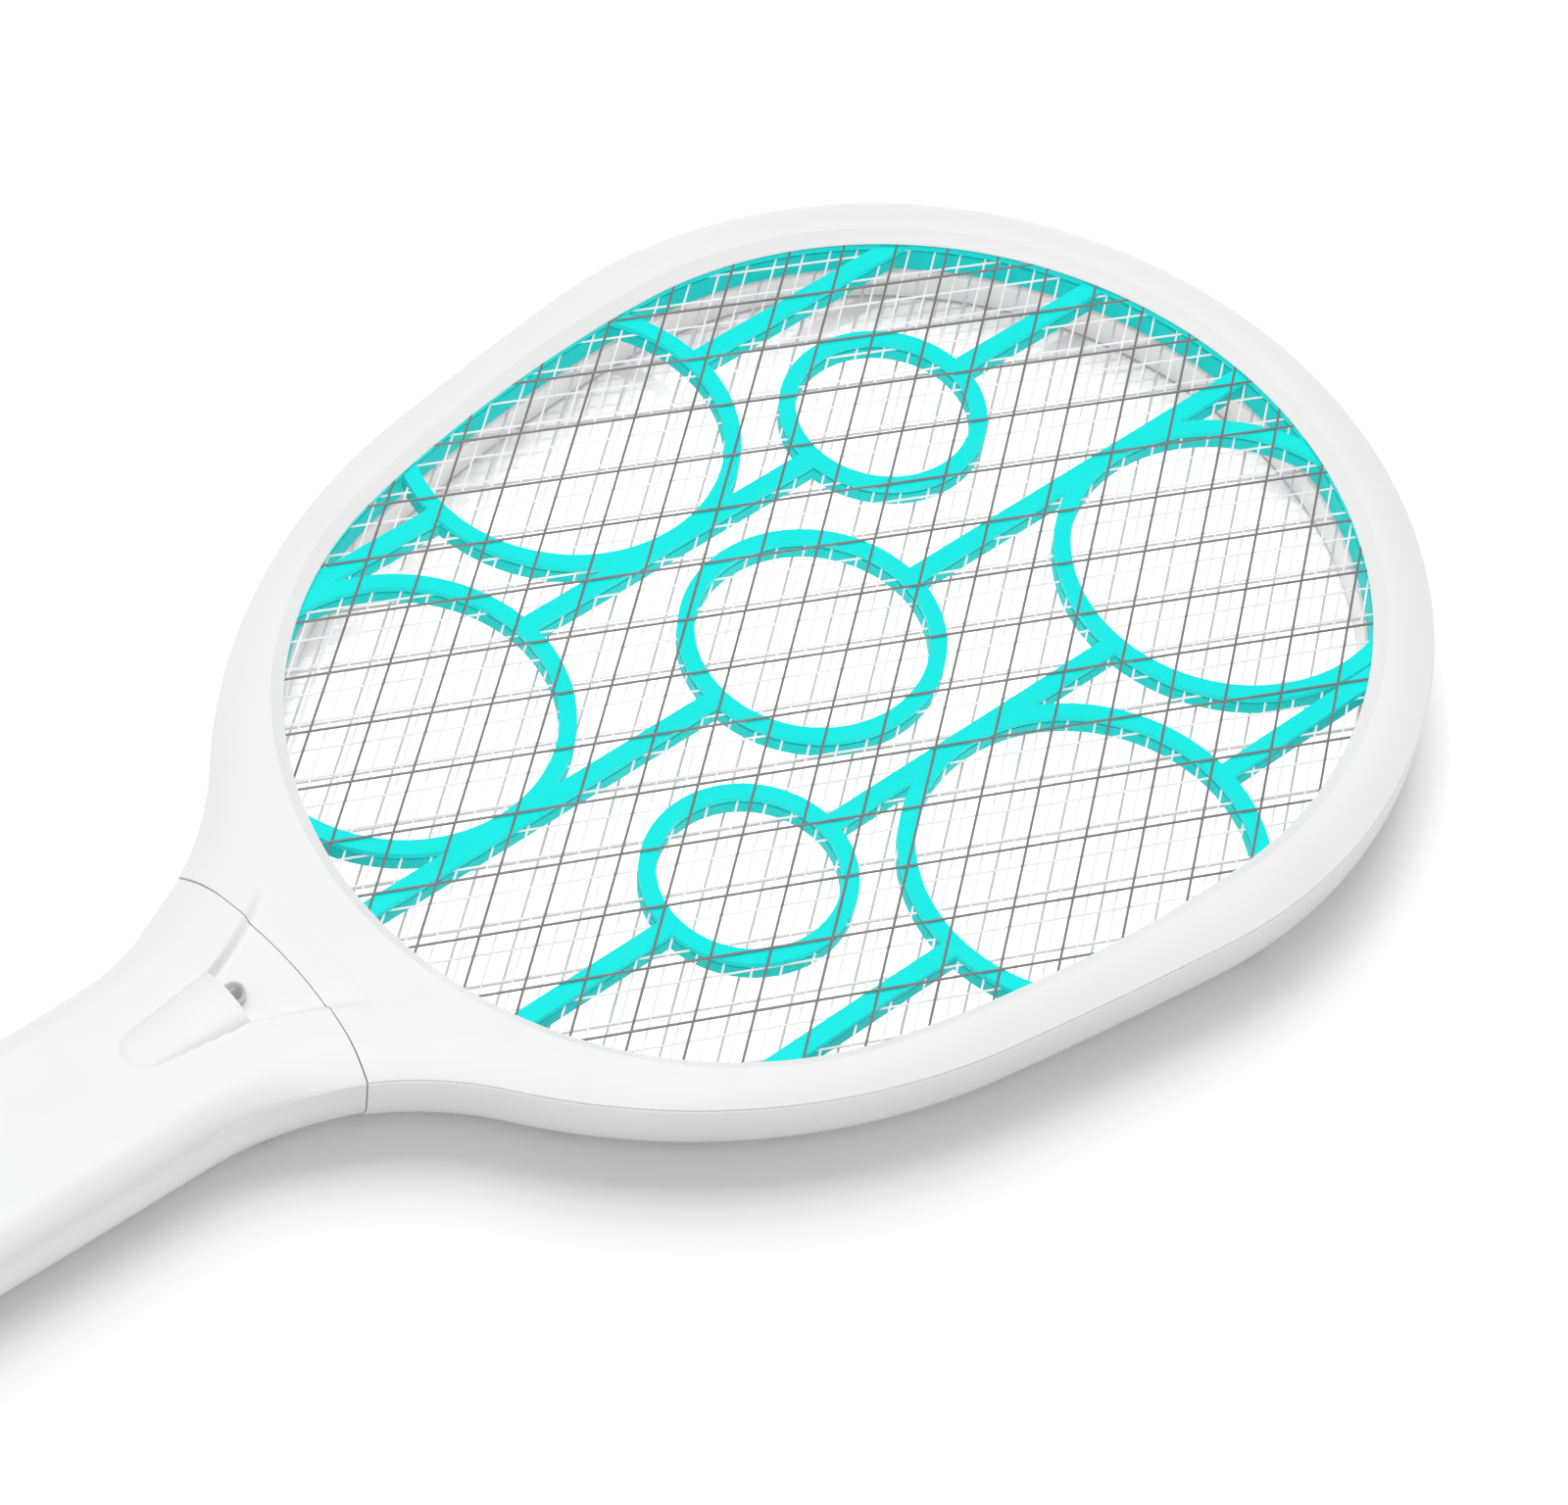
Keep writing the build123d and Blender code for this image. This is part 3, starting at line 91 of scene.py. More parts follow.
SEE_THROUGH = ("front_wires", "live_wires", "rear_wires", "front_grille", "rear_grille",
               "front_mesh", "middle_mesh", "rear_mesh")

# ---------------------------------------------------------------- shape of the object, in mm
CROWN_Y, HEAD_RADIUS, NET_RADIUS = 137.0, 103.0, 90.3
NET_Y = CROWN_Y - 29.0
CROWN_EXTRA = 7.3
FLANK_RADIUS, FLANK_TURN = 1090.0, 2.6
SHOULDER_RADIUS, SHOULDER_TURN = 133.0, 42.0
NECK_RADIUS = 64.0
NET_SIDE_RADIUS, NET_SIDE_TURN = 308.0, 14.6
NECK_POINTS = 120
SEAT_Z, MIDDLE_MESH_Z, FRONT_MESH_Z = 7.6, 13.6, 15.5
TOP_Z, BACK_ROUND, FACE_WIDTH = 18.6, 8.0, 9.5
REAR_TOP_Z, FRONT_FOOT_Z, FACE_EDGE_Z = 15.45, 15.55, 15.7
LIP_WIDTH, LIP_SLOPE = 2.5, [(2.38, 18.48), (0.3, 16.8), (0.08, 16.65), (0.0, 16.5)]    # outward, height
LIP_FOOT_Z, SEAT_WIDTH = 16.3, 4.2
WIRE_HOLD = 3.4                                          # how far each wire runs on under the lip
SEAM_Y, SEAM_RADIUS, SEAM_GAP = -22.3, 102.0, 0.19
CAP_Y = -224.0
GRIP = [(-85.0, 20.9, 18.6), (-122.0, 20.2, 18.6), (-150.0, 19.3, 21.4), (-182.0, 18.8, 23.6),
        (-210.0, 19.4, 22.6), (CAP_Y, 19.6, 21.8)]
GRIP_ROUND, GRIP_FACE, GRIP_EDGE_DROP, GRIP_LEAN_LOW, GRIP_LEAN_HIGH = 6.0, 6.4, 5.6, 1.2, 1.7
NECK_EDGE_Z, CREASE_IN, CREASE_DROP = 15.6, 0.3, 0.35
WALL_INSET_X, WALL_INSET_Z = 0.90, 0.80                  # inside of the handle's shells, as a share
HOOD_Y, HOOD_TIP_Y, HOOD_HALF, HOOD_HEIGHT = -36.6, -60.0, 6.9, 2.4
HOOD_TIP_ROUND, HOOD_TIP_HALF, HOOD_TIP_HEIGHT = 4.0, 3.9, 0.55
RECESS_DEPTH, RECESS_END_Y = 2.4, -15.0
RECESS_HALF, RECESS_FLARE, RECESS_CURL = 6.8, 0.36, 0.009
RECESS_WALL, RECESS_WALL_GROWTH = 1.1, 0.07              # width of its sloping sides
LED_CENTRE, LED_RADIUS, LED_BACK_Y = (-0.3, -35.0, 18.1), 2.3, -42.5
BUTTON_Y, SLIDER_Y, INDICATOR_Y, PLUG_SLOT_Y = -105.0, -136.0, -123.5, -225.3
BUTTON_HOLE, INDICATOR_HOLE, HANDLE_SCREW_HOLE, HEAD_SCREW_HOLE = 14.4, 1.6, 2.7, 1.9       # radii
SLIDER_HOLE, PLUG_TRACK, PLUG_SLOT = (7.6, 15.6), (9.0, 26.0), (4.8, 21.8)      # across, along
HANDLE_SCREWS = [(side * x, y) for x, y in ((17.0, -42.0), (12.0, -145.8), (12.0, -208.0))
                 for side in (-1, 1)]
COARSE_WIRES = [(37.9, 10.72, 4.95), (-25.4, 13.3, 10.7)]
REAR_WIRES = [(37.9, 10.72, 9.9), (-25.4, 13.3, 4.7)]
FINE_WIRES = [(37.9, 5.36, 2.2), (-25.4, 6.65, 1.1)]


# ---------------------------------------------------------------- materials
def material(name, colour, roughness, metallic=0.0, coat=0.0, transmission=0.0, specular=0.5):
    """A Principled material, for the caller to add detail to."""
    mat = bpy.data.materials.new(name)
    mat.use_nodes = True
    shader = mat.node_tree.nodes["Principled BSDF"]
    shader.inputs["Base Color"].default_value = (*colour, 1)
    shader.inputs["Roughness"].default_value = roughness
    shader.inputs["Metallic"].default_value = metallic
    shader.inputs["Specular IOR Level"].default_value = specular
    shader.inputs["Coat Weight"].default_value = coat
    shader.inputs["Coat Roughness"].default_value = 0.08
    shader.inputs["Transmission Weight"].default_value = transmission
    return mat


def noise(mat, scale, detail=2.0):
    """3-D noise on object coordinates; returns its factor socket."""
    nodes, links = mat.node_tree.nodes, mat.node_tree.links
    coords = nodes.new("ShaderNodeTexCoord")
    tex = nodes.new("ShaderNodeTexNoise")
    tex.inputs["Scale"].default_value = scale
    tex.inputs["Detail"].default_value = detail
    links.new(coords.outputs["Object"], tex.inputs["Vector"])
    return tex.outputs["Fac"]


def vary_colour(mat, factor, low, high):
    """Colour that wanders between low and high with a factor."""
    nodes, links = mat.node_tree.nodes, mat.node_tree.links
    ramp = nodes.new("ShaderNodeValToRGB")
    ramp.color_ramp.elements[0].position, ramp.color_ramp.elements[1].position = 0.3, 0.7
    ramp.color_ramp.elements[0].color, ramp.color_ramp.elements[1].color = (*low, 1), (*high, 1)
    links.new(factor, ramp.inputs["Fac"])
    links.new(ramp.outputs["Color"], nodes["Principled BSDF"].inputs["Base Color"])


def vary_roughness(mat, factor, low, high):
    """Roughness that wanders between low and high with a factor."""
    nodes, links = mat.node_tree.nodes, mat.node_tree.links
    spread = nodes.new("ShaderNodeMapRange")
    spread.inputs["From Min"].default_value, spread.inputs["From Max"].default_value = 0.3, 0.7
    spread.inputs["To Min"].default_value, spread.inputs["To Max"].default_value = low, high
    links.new(factor, spread.inputs["Value"])
    links.new(spread.outputs["Result"], nodes["Principled BSDF"].inputs["Roughness"])


def add_bump(mat, factor, height, strength=0.3):
    """Fine relief, height in metres."""
    nodes, links = mat.node_tree.nodes, mat.node_tree.links
    bump = nodes.new("ShaderNodeBump")
    bump.inputs["Strength"].default_value = strength
    bump.inputs["Distance"].default_value = height
    links.new(factor, bump.inputs["Height"])
    links.new(bump.outputs["Normal"], nodes["Principled BSDF"].inputs["Normal"])


def plastic(name, colour, roughness, coat, grain=900, relief=0.00002, specular=0.5):
    """Moulded plastic: slight mottling, uneven gloss and the faint texture of the mould."""
    mat = material(name, colour, roughness, coat=coat, specular=specular)
    vary_colour(mat, noise(mat, 28), tuple(c * 0.975 for c in colour), colour)
    vary_roughness(mat, noise(mat, 90), roughness * 0.85, roughness * 1.2)
    add_bump(mat, noise(mat, grain, 3), relief)
    return mat


def metal(name, colour, roughness, metallic=1.0):
    """Drawn or plated metal with fine mottling."""
    mat = material(name, colour, roughness, metallic)
    vary_colour(mat, noise(mat, 60), tuple(c * 0.88 for c in colour), colour)
    vary_roughness(mat, noise(mat, 500, 3), roughness * 0.7, roughness * 1.4)
    add_bump(mat, noise(mat, 500), 0.00001, 0.2)
    return mat


def lens(name, colour, roughness, coat, transmission, smooth, dull):
    """Clear or tinted plastic whose gloss varies from smooth to dull."""
    mat = material(name, colour, roughness, coat=coat, transmission=transmission)
    vary_roughness(mat, noise(mat, 400), smooth, dull)
    return mat


FINISH = {
    "shell_white": plastic("white_abs", (0.86, 0.86, 0.862), 0.46, 0.08),
    "teal_front": plastic("teal_abs", (0.0, 0.82, 0.78), 0.55, 0.0, specular=0.2),
    # teal_rear is the front grille's teal plastic made darker: painted shade for the rear grille lying in
    # shadow under the front one
    "teal_rear": plastic("teal_abs_painted_shade", (0.0, 0.66, 0.63), 0.55, 0.0, specular=0.2),
    "black_plastic": plastic("black_moulding", (0.03, 0.03, 0.033), 0.5, 0.0),
    "ferrite": plastic("ferrite", (0.055, 0.055, 0.06), 0.7, 0.0, grain=1500, relief=0.00005),
    "board_green": plastic("solder_mask", (0.02, 0.16, 0.07), 0.25, 0.5),
    "yellow_tape": plastic("winding_tape", (0.75, 0.52, 0.05), 0.25, 0.3),
    "capacitor_red": plastic("epoxy_red", (0.36, 0.03, 0.02), 0.22, 0.5),
    "capacitor_blue": plastic("epoxy_blue", (0.03, 0.12, 0.42), 0.22, 0.5),
    "resistor_tan": plastic("resistor_lacquer", (0.56, 0.42, 0.24), 0.35, 0.3),
    "cell_sleeve": plastic("cell_sleeve", (0.02, 0.10, 0.34), 0.2, 0.4),
    "lead_red": plastic("pvc_red", (0.55, 0.02, 0.02), 0.4, 0.1),
    "lead_black": plastic("pvc_black", (0.02, 0.02, 0.022), 0.4, 0.1),
    "wire_dark": metal("dark_wire", (0.27, 0.25, 0.25), 0.45, 0.6),
    "wire_light": metal("pale_wire", (0.66, 0.66, 0.68), 0.45, 0.1),
    "screw_steel": metal("zinc_plate", (0.62, 0.62, 0.64), 0.28),
    "contact_brass": metal("contact_brass", (0.80, 0.66, 0.36), 0.25),
    "clear_lens": lens("led_lens", (0.40, 0.41, 0.43), 0.1, 0.5, 0.35, 0.05, 0.14),
    "red_lens": lens("red_lens", (0.75, 0.05, 0.04), 0.12, 0.4, 0.4, 0.08, 0.2),
}
FINE_WIRE = metal("fine_wire", (0.97, 0.97, 0.98), 0.55, 0.0)


def dress_nodes():
    """Every CAD node gets the material of its slot."""
    for part in frame["record"]["subparts"]:
        node = NODES[part["node"]]
        node.data.materials.clear()
        node.data.materials.append(FINISH[part["material_slot"]])


# ---------------------------------------------------------------- outlines as rows of points, in mm
def arc(centre, radius, start, end, count):
    """Points of an arc between two angles measured from +X, in degrees."""
    angles = np.radians(np.linspace(start, end, count))
    return np.stack([centre[0] + radius * np.cos(angles), centre[1] + radius * np.sin(angles)], 1)


def unit(heading):
    """The direction at an angle from +X, in degrees."""
    return np.array([cos(radians(heading)), sin(radians(heading))])


def left_outline(grow=0.0):
    """Left half of the head's outline, from the crown's top to the end of the neck's arc."""
    heading = 180 + CROWN_EXTRA
    centre = np.array([0.0, CROWN_Y])
    crown = arc(centre, HEAD_RADIUS + grow, 90, heading, 160)
    centre = centre + unit(heading) * (HEAD_RADIUS - FLANK_RADIUS)
    flank = arc(centre, FLANK_RADIUS + grow, heading, heading + FLANK_TURN, 40)
    heading += FLANK_TURN
    centre = centre + unit(heading) * (FLANK_RADIUS - SHOULDER_RADIUS)
    shoulder = arc(centre, SHOULDER_RADIUS + grow, heading, heading + SHOULDER_TURN, 90)
    heading += SHOULDER_TURN
    centre = centre + unit(heading) * (SHOULDER_RADIUS + NECK_RADIUS)
    turn = CROWN_EXTRA + FLANK_TURN + SHOULDER_TURN
    neck = arc(centre, NECK_RADIUS - grow, heading - 180, heading - 180 - turn, NECK_POINTS)
    return np.concatenate([crown, flank[1:], shoulder[1:], neck[1:]])


def left_opening(grow=0.0):
    """Left half of the net opening and its outward normals, from the top to the foot."""
    turn = radians(NET_SIDE_TURN)
    foot_radius = (NET_RADIUS - NET_SIDE_RADIUS * (1 - cos(turn))) / cos(turn)
    side_x = NET_SIDE_RADIUS - NET_RADIUS
    foot_y = CROWN_Y - (NET_SIDE_RADIUS - foot_radius) * sin(turn)
    crown = arc((0, CROWN_Y), NET_RADIUS + grow, 90, 180, 130)
    side = arc((side_x, CROWN_Y), NET_SIDE_RADIUS + grow, 180, 180 + NET_SIDE_TURN, 70)[1:]
    foot = arc((0, foot_y), foot_radius + grow, 180 + NET_SIDE_TURN, 270, 230)[1:]
    outward = [crown - np.array([0, CROWN_Y]), side - np.array([side_x, CROWN_Y]),
               foot - np.array([0, foot_y])]
    normals = np.concatenate([rows / np.linalg.norm(rows, axis=1)[:, None] for rows in outward])
    return np.concatenate([crown, side, foot]), normals


OUTLINE = left_outline()
NECK_PART = OUTLINE[-NECK_POINTS:]


def half_width(y):
    """Half width of the neck and handle, and its slope, at a height along the handle."""
    ys = np.array([g[0] for g in GRIP][::-1] + list(NECK_PART[::-1, 1]))
    xs = np.array([g[1] for g in GRIP][::-1] + list(-NECK_PART[::-1, 0]))
    keep = np.concatenate([[True], np.diff(ys) > 1e-6])
    ys, xs = ys[keep], xs[keep]
    slopes = np.gradient(xs, ys)
    return np.interp(y, ys, xs), np.interp(y, ys, slopes)


def handle_top(y):
    """Height of the handle's crest, eased between its stations."""
    ys = np.array([g[0] for g in GRIP][::-1] + [-60.0, -20.0])
    zs = np.array([g[2] for g in GRIP][::-1] + [TOP_Z, TOP_Z])
    k = np.clip(np.searchsorted(ys, y) - 1, 0, len(ys) - 2)
    t = np.clip((y - ys[k]) / (ys[k + 1] - ys[k]), 0, 1)
    slopes = np.gradient(zs, ys)
    h = ys[k + 1] - ys[k]
    return ((2 * t**3 - 3 * t**2 + 1) * zs[k] + (t**3 - 2 * t**2 + t) * h * slopes[k]
            + (-2 * t**3 + 3 * t**2) * zs[k + 1] + (t**3 - t**2) * h * slopes[k + 1])


def ease(x):
    """Smooth step from 0 to 1."""
    x = np.clip(x, 0, 1)
    return x * x * (3 - 2 * x)


def crown_curve(d, sharp):
    """Rise of the face from its edge: a low parabola where creased, an ellipse where rounded."""
    x = 1 - np.clip(d, 0, 1)
    return sharp * (1 - x * x) + (1 - sharp) * np.sqrt(np.clip(1 - x * x, 0, 1))


def torch_relief(x, y):
    """Hood above, and light recess below, the face round the torch, in mm."""
    ahead = y - HOOD_Y
    to_tip = np.clip(HOOD_TIP_Y + HOOD_TIP_ROUND - y, 0, HOOD_TIP_ROUND) / HOOD_TIP_ROUND
    tip = np.sqrt(np.clip(1 - to_tip**2, 1e-4, 1))
    half = np.interp(y, [HOOD_TIP_Y, HOOD_Y], [HOOD_TIP_HALF, HOOD_HALF]) * tip
    rise = np.interp(y, [HOOD_TIP_Y, HOOD_Y], [HOOD_TIP_HEIGHT, HOOD_HEIGHT]) * tip
    across = np.clip(1 - (x / half) ** 2, 0, 1)
    hood = np.where((ahead <= 0) & (y > HOOD_TIP_Y), rise * across**0.55, 0.0)
    outer = RECESS_HALF + RECESS_FLARE * ahead + RECESS_CURL * ahead**2
    inner = outer - RECESS_WALL - RECESS_WALL_GROWTH * ahead
    deep = RECESS_DEPTH * (1 - np.clip(ahead / (RECESS_END_Y - HOOD_Y), 0, 1)) ** 0.6
    wall = ease((outer - np.abs(x)) / (outer - inner))
    recess = np.where((ahead > 0) & (y < RECESS_END_Y), deep * wall, 0.0)
    return hood - recess


def edge_distance(points):
    """Distance from each point to the outline of head and neck, on its nearer side."""
    folded = np.stack([-np.abs(points[:, 0]), points[:, 1]], 1)
    result, batch = np.empty(len(folded)), 4000
    for k in range(0, len(folded), batch):
        gap = folded[k:k + batch, None, :] - OUTLINE[None, :, :]
        result[k:k + batch] = np.sqrt((gap**2).sum(2)).min(1)
    return result


def seam_y(x, gap):
    """The seam's circle at x, moved out by a gap towards the head."""
    return SEAM_Y - SEAM_RADIUS + np.sqrt((SEAM_RADIUS + gap) ** 2 - x * x)


def seam_corner(rows):
    """Where a head outline meets the seam, on the head's side of the gap."""
    rows = rows[-NECK_POINTS:]
    above = rows[:, 1] - seam_y(rows[:, 0].clip(-60, 0), SEAM_GAP)
    k = np.argmax(above < 0)
    t = above[k - 1] / (above[k - 1] - above[k])
    return rows[k - 1] + t * (rows[k] - rows[k - 1])


# ---------------------------------------------------------------- meshes from rows of points
def link(obj):
    """Put a new object into the scene."""
    bpy.context.scene.collection.objects.link(obj)
    return obj


def make_object(name, verts, faces, finish, sharp=35):
    """A smooth-shaded mesh object from points in mm, with its material and slot."""
    mesh = bpy.data.meshes.new(name)
    mesh.from_pydata([tuple(v) for v in np.asarray(verts, float) * MM], [], faces)
    mesh.validate()
    obj = link(bpy.data.objects.new(name, mesh))
    mesh.materials.append(FINISH[finish])
    mesh.shade_smooth()
    mesh.set_sharp_from_angle(angle=radians(sharp))
    return obj


def stand_in(obj, node):
    """Show a piece in place of a CAD node, riding on the swatter's frame."""
    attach(obj, "frame")
    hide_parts(node)


def grid_faces(rows, cols, wrap_rows=False, wrap_cols=False):
    """Quads of a grid of rows x cols points, closed round either way if asked."""
    faces = []
    for r in range(rows if wrap_rows else rows - 1):
        for c in range(cols if wrap_cols else cols - 1):
            a, b = r * cols + c, r * cols + (c + 1) % cols
            d, e = (r + 1) % rows * cols + c, (r + 1) % rows * cols + (c + 1) % cols
            faces.append((a, b, e, d))
    return faces


def mirrored(rows):
    """Rows of the left half, top to foot, completed with the right half's: a closed loop."""
    right = rows[1:-1][::-1] * np.array([-1.0, 1.0])
    return np.concatenate([rows, right])


def head_loops():
    """Matching closed loops: the net opening, its normals, and a function for the inset outline."""
    opening, normals = left_opening()
    split = int(len(opening) * 0.80)
    near = OUTLINE[[np.argmin(((OUTLINE - p) ** 2).sum(1)) for p in opening[:split]]]
    near = smooth_rows(near, 4)
    near[0] = OUTLINE[0]
    fractions = outline_fractions(near)
    rest = len(opening) - split
    to_corner = int(rest * 0.45)

    def outer(inset):
        rows = left_outline(-inset)
        corner = seam_corner(rows)
        end = fraction_of(rows, corner)
        rim = point_at(rows, fractions)
        run = point_at(rows, np.linspace(fractions[-1], end, to_corner + 1)[1:])
        run[-1] = corner
        xs = np.linspace(corner[0], 0, rest - to_corner + 1)[1:]
        seam = np.stack([xs, seam_y(xs, SEAM_GAP)], 1)
        return mirrored(np.concatenate([rim, run, seam]))

    return mirrored(opening), mirrored(normals), outer


def smooth_rows(rows, times):
    """Rows of points evened out along their line, ends kept."""
    rows = rows.copy()
    for _ in range(times):
        rows[1:-1] = (rows[:-2] + rows[1:-1] * 2 + rows[2:]) / 4
    return rows


def lengths(rows):
    """Running length along a row of points, from 0 to 1."""
    run = np.concatenate([[0], np.cumsum(np.linalg.norm(np.diff(rows, axis=0), axis=1))])
    return run / run[-1]


def fraction_of(rows, point):
    """Nearest running length on a row of points."""
    run = lengths(rows)
    return run[np.argmin(((rows - point) ** 2).sum(1))]


def outline_fractions(points):
    """Running lengths of points on the outline, made to grow steadily."""
    run = np.array([fraction_of(OUTLINE, p) for p in points])
    return np.maximum.accumulate(run + np.arange(len(run)) * 1e-7)


def point_at(rows, fractions):
    """Points of a row at running lengths."""
    run = lengths(rows)
    return np.stack([np.interp(fractions, run, rows[:, 0]), np.interp(fractions, run, rows[:, 1])], 1)


def level(points, z):
    """Plan points raised to a height, or each to its own."""
    return np.column_stack([points, np.broadcast_to(z, len(points))])


def head_skin(name, rings):
    """A closed skin of the head from rings round its section."""
    faces = grid_faces(len(rings), len(rings[0]), wrap_rows=True, wrap_cols=True)
    return make_object(name, np.concatenate(rings), faces, "shell_white")


def head_front_skin():
    """Front of the head: low convex face, lip band round the net, flat underside."""
    opening, normals, outer = head_loops()
    rings = [level(outer(0.9), FRONT_FOOT_Z), level(outer(0.34), FRONT_FOOT_Z)]
    start, lip = outer(0.30), opening + normals * LIP_WIDTH
    for s in 1 - np.cos(np.linspace(0, pi / 2, 30)):
        flat = start * (1 - s) + lip * s
        rise = (TOP_Z - FACE_EDGE_Z) * crown_curve(edge_distance(flat) / FACE_WIDTH, 1.0)
        rings.append(level(flat, FACE_EDGE_Z + rise + torch_relief(flat[:, 0], flat[:, 1])))
    underside = [(0.0, LIP_FOOT_Z), (SEAT_WIDTH, LIP_FOOT_Z), (SEAT_WIDTH, FRONT_FOOT_Z)]
    rings += [level(opening + normals * outward, z) for outward, z in LIP_SLOPE + underside]
    return head_skin("head_front_skin", rings)


def head_rear_skin():
    """Back of the head: side band, rounded back edge, seat for the layers."""
    opening, normals, outer = head_loops()
    band = [(0.9, REAR_TOP_Z), (0.35, REAR_TOP_Z), (0.1, 15.3), (0.0, 15.0), (0.0, 11.0)]
    rings = [level(outer(inset), z) for inset, z in band]
    for angle in np.radians(np.linspace(0, 90, 12)):
        rings.append(level(outer(BACK_ROUND * (1 - cos(angle))), BACK_ROUND * (1 - sin(angle))))
    inner, edge = outer(BACK_ROUND), opening + normals * 0.8
    for s in (0.3, 0.7):
        rings.append(level(inner * (1 - s) + edge * s, 0.0))
    bore = [(0.8, 0.0), (0.2, 0.25), (0.0, 0.8), (0.0, SEAT_Z), (SEAT_WIDTH, SEAT_Z),
            (SEAT_WIDTH, REAR_TOP_Z)]
    rings += [level(opening + normals * outward, z) for outward, z in bore]
    return head_skin("head_rear_skin", rings)


# ---------------------------------------------------------------- handle
BASE_POINTS, CORNER_POINTS, SIDE_POINTS, FACE_POINTS, TOP_POINTS = 8, 14, 7, 18, 43
SPLIT_POINT = BASE_POINTS + 9                            # where the front and the rear skin part
EDGE_POINT = BASE_POINTS + CORNER_POINTS + SIDE_POINTS + 1


def section(y):
    """Right half of the handle's cross-section from the bottom middle to the top middle."""
    width, slope = half_width(y)
    top = handle_top(y)
    stretch = sqrt(1 + slope * slope)
    sharp = float(1 - ease((SEAM_Y - 4 - y) / 30.0))

    def blend(neck, grip):
        return neck * sharp + grip * (1 - sharp)

    corner = blend(BACK_ROUND * stretch, GRIP_ROUND)
    foot = blend(BACK_ROUND, GRIP_ROUND)
    lean_low, lean_high = blend(0, GRIP_LEAN_LOW), blend(0, GRIP_LEAN_HIGH)
    edge_z = blend(NECK_EDGE_Z, top - GRIP_EDGE_DROP)
    face = blend(FACE_WIDTH * stretch, GRIP_FACE)
    low_x, edge_x = width - lean_low, width - lean_high
    points = [(x, 0.0) for x in np.linspace(0, low_x - corner, BASE_POINTS + 1)[:-1]]
    for angle in np.radians(np.linspace(0, 90, CORNER_POINTS)):
        points.append((low_x - corner + corner * sin(angle) + lean_low * (1 - cos(angle)) * 0.8,
                       foot * (1 - cos(angle))))
    for t in np.linspace(0, 1, SIDE_POINTS + 2)[1:-1]:
        swell = ease(t)
        points.append((width * (1 - swell) + edge_x * swell - (lean_low * 0.2) * (1 - t),
                       foot + (edge_z - foot) * t))
    if sharp > 0.02:
        points[-1] = (edge_x, edge_z - CREASE_DROP * sharp)
    for d in 1 - np.cos(np.linspace(0, pi / 2, FACE_POINTS)):
        points.append((edge_x - CREASE_IN * sharp * stretch - d * face,
                       edge_z + (top - edge_z) * crown_curve(d, sharp)))
    points += [(x, top) for x in np.linspace(points[-1][0], 0, TOP_POINTS + 1)[1:]]
    return np.array(points)


def handle_stations():
    """Heights of the handle's cross-sections, close together round the torch."""
    return np.concatenate([
        [SEAM_Y], np.linspace(SEAM_Y - 0.6, HOOD_Y + 0.6, 26), [HOOD_Y + 0.02, HOOD_Y - 0.02],
        np.linspace(HOOD_Y - 0.5, HOOD_TIP_Y - 1, 46), np.linspace(HOOD_TIP_Y - 3, CAP_Y + 0.2, 74)])


def handle_halves():
    """Right halves of the handle's cross-sections; the first follow the seam's curve."""
    halves = []
    for y in handle_stations():
        x, z = section(y).T
        bend = 1 - ease((SEAM_Y - y) / 26.0)

        def curved(xs):
            return y + (seam_y(xs, -SEAM_GAP) - (SEAM_Y - SEAM_GAP)) * bend

        if bend > 0:
            x = x * half_width(curved(x)[EDGE_POINT])[0] / half_width(y)[0]
        ys = curved(x)
        z = z + np.where(z > TOP_Z - 1.6, torch_relief(x, ys), 0.0)
        halves.append(np.column_stack([x, ys, z]))
    return halves


def front_strip(half):
    """The front skin's share of a cross-section, from one side over the top to the other."""
    left = half * np.array([-1.0, 1.0, 1.0])
    return np.concatenate([half[SPLIT_POINT:], left[SPLIT_POINT:-1][::-1]])


def rear_strip(half):
    """The rear skin's share of a cross-section, from one side under the bottom to the other."""
    left = half * np.array([-1.0, 1.0, 1.0])
    return np.concatenate([left[1:SPLIT_POINT + 1][::-1], half[:SPLIT_POINT + 1]])


def wall_faces(rows, cols):
    """Faces of a shell: an outer grid, an inner one that follows it in the list, and their rims."""
    shift = rows * cols
    outside = grid_faces(rows, cols)
    faces = outside + [tuple(shift + v for v in face[::-1]) for face in outside]
    for r in range(rows - 1):
        for c in (0, cols - 1):
            a, b = r * cols + c, (r + 1) * cols + c
            quad = (a, b, b + shift, a + shift)
            faces.append(quad if c == 0 else quad[::-1])
    for r in (0, rows - 1):
        for c in range(cols - 1):
            a, b = r * cols + c, r * cols + c + 1
            quad = (a, a + shift, b + shift, b)
            faces.append(quad if r == 0 else quad[::-1])
    return faces


def handle_skins():
    """Front and rear of the handle as two closed shells, split low on the sides."""
    made = []
    halves = handle_halves()
    for name, strip_of in (("handle_front_skin", front_strip), ("handle_rear_skin", rear_strip)):
        outer = [strip_of(half) for half in halves]
        inner = []
        for half, strip in zip(halves, outer):
            middle_z = half[:, 2].max() * 0.5
            inside = strip.copy()
            inside[:, 0] *= WALL_INSET_X
            inside[:, 2] = (strip[:, 2] - middle_z) * WALL_INSET_Z + middle_z
            inner.append(inside)
        faces = wall_faces(len(outer), len(outer[0]))
        made.append(make_object(name, np.concatenate(outer + inner), faces, "shell_white"))
    return made


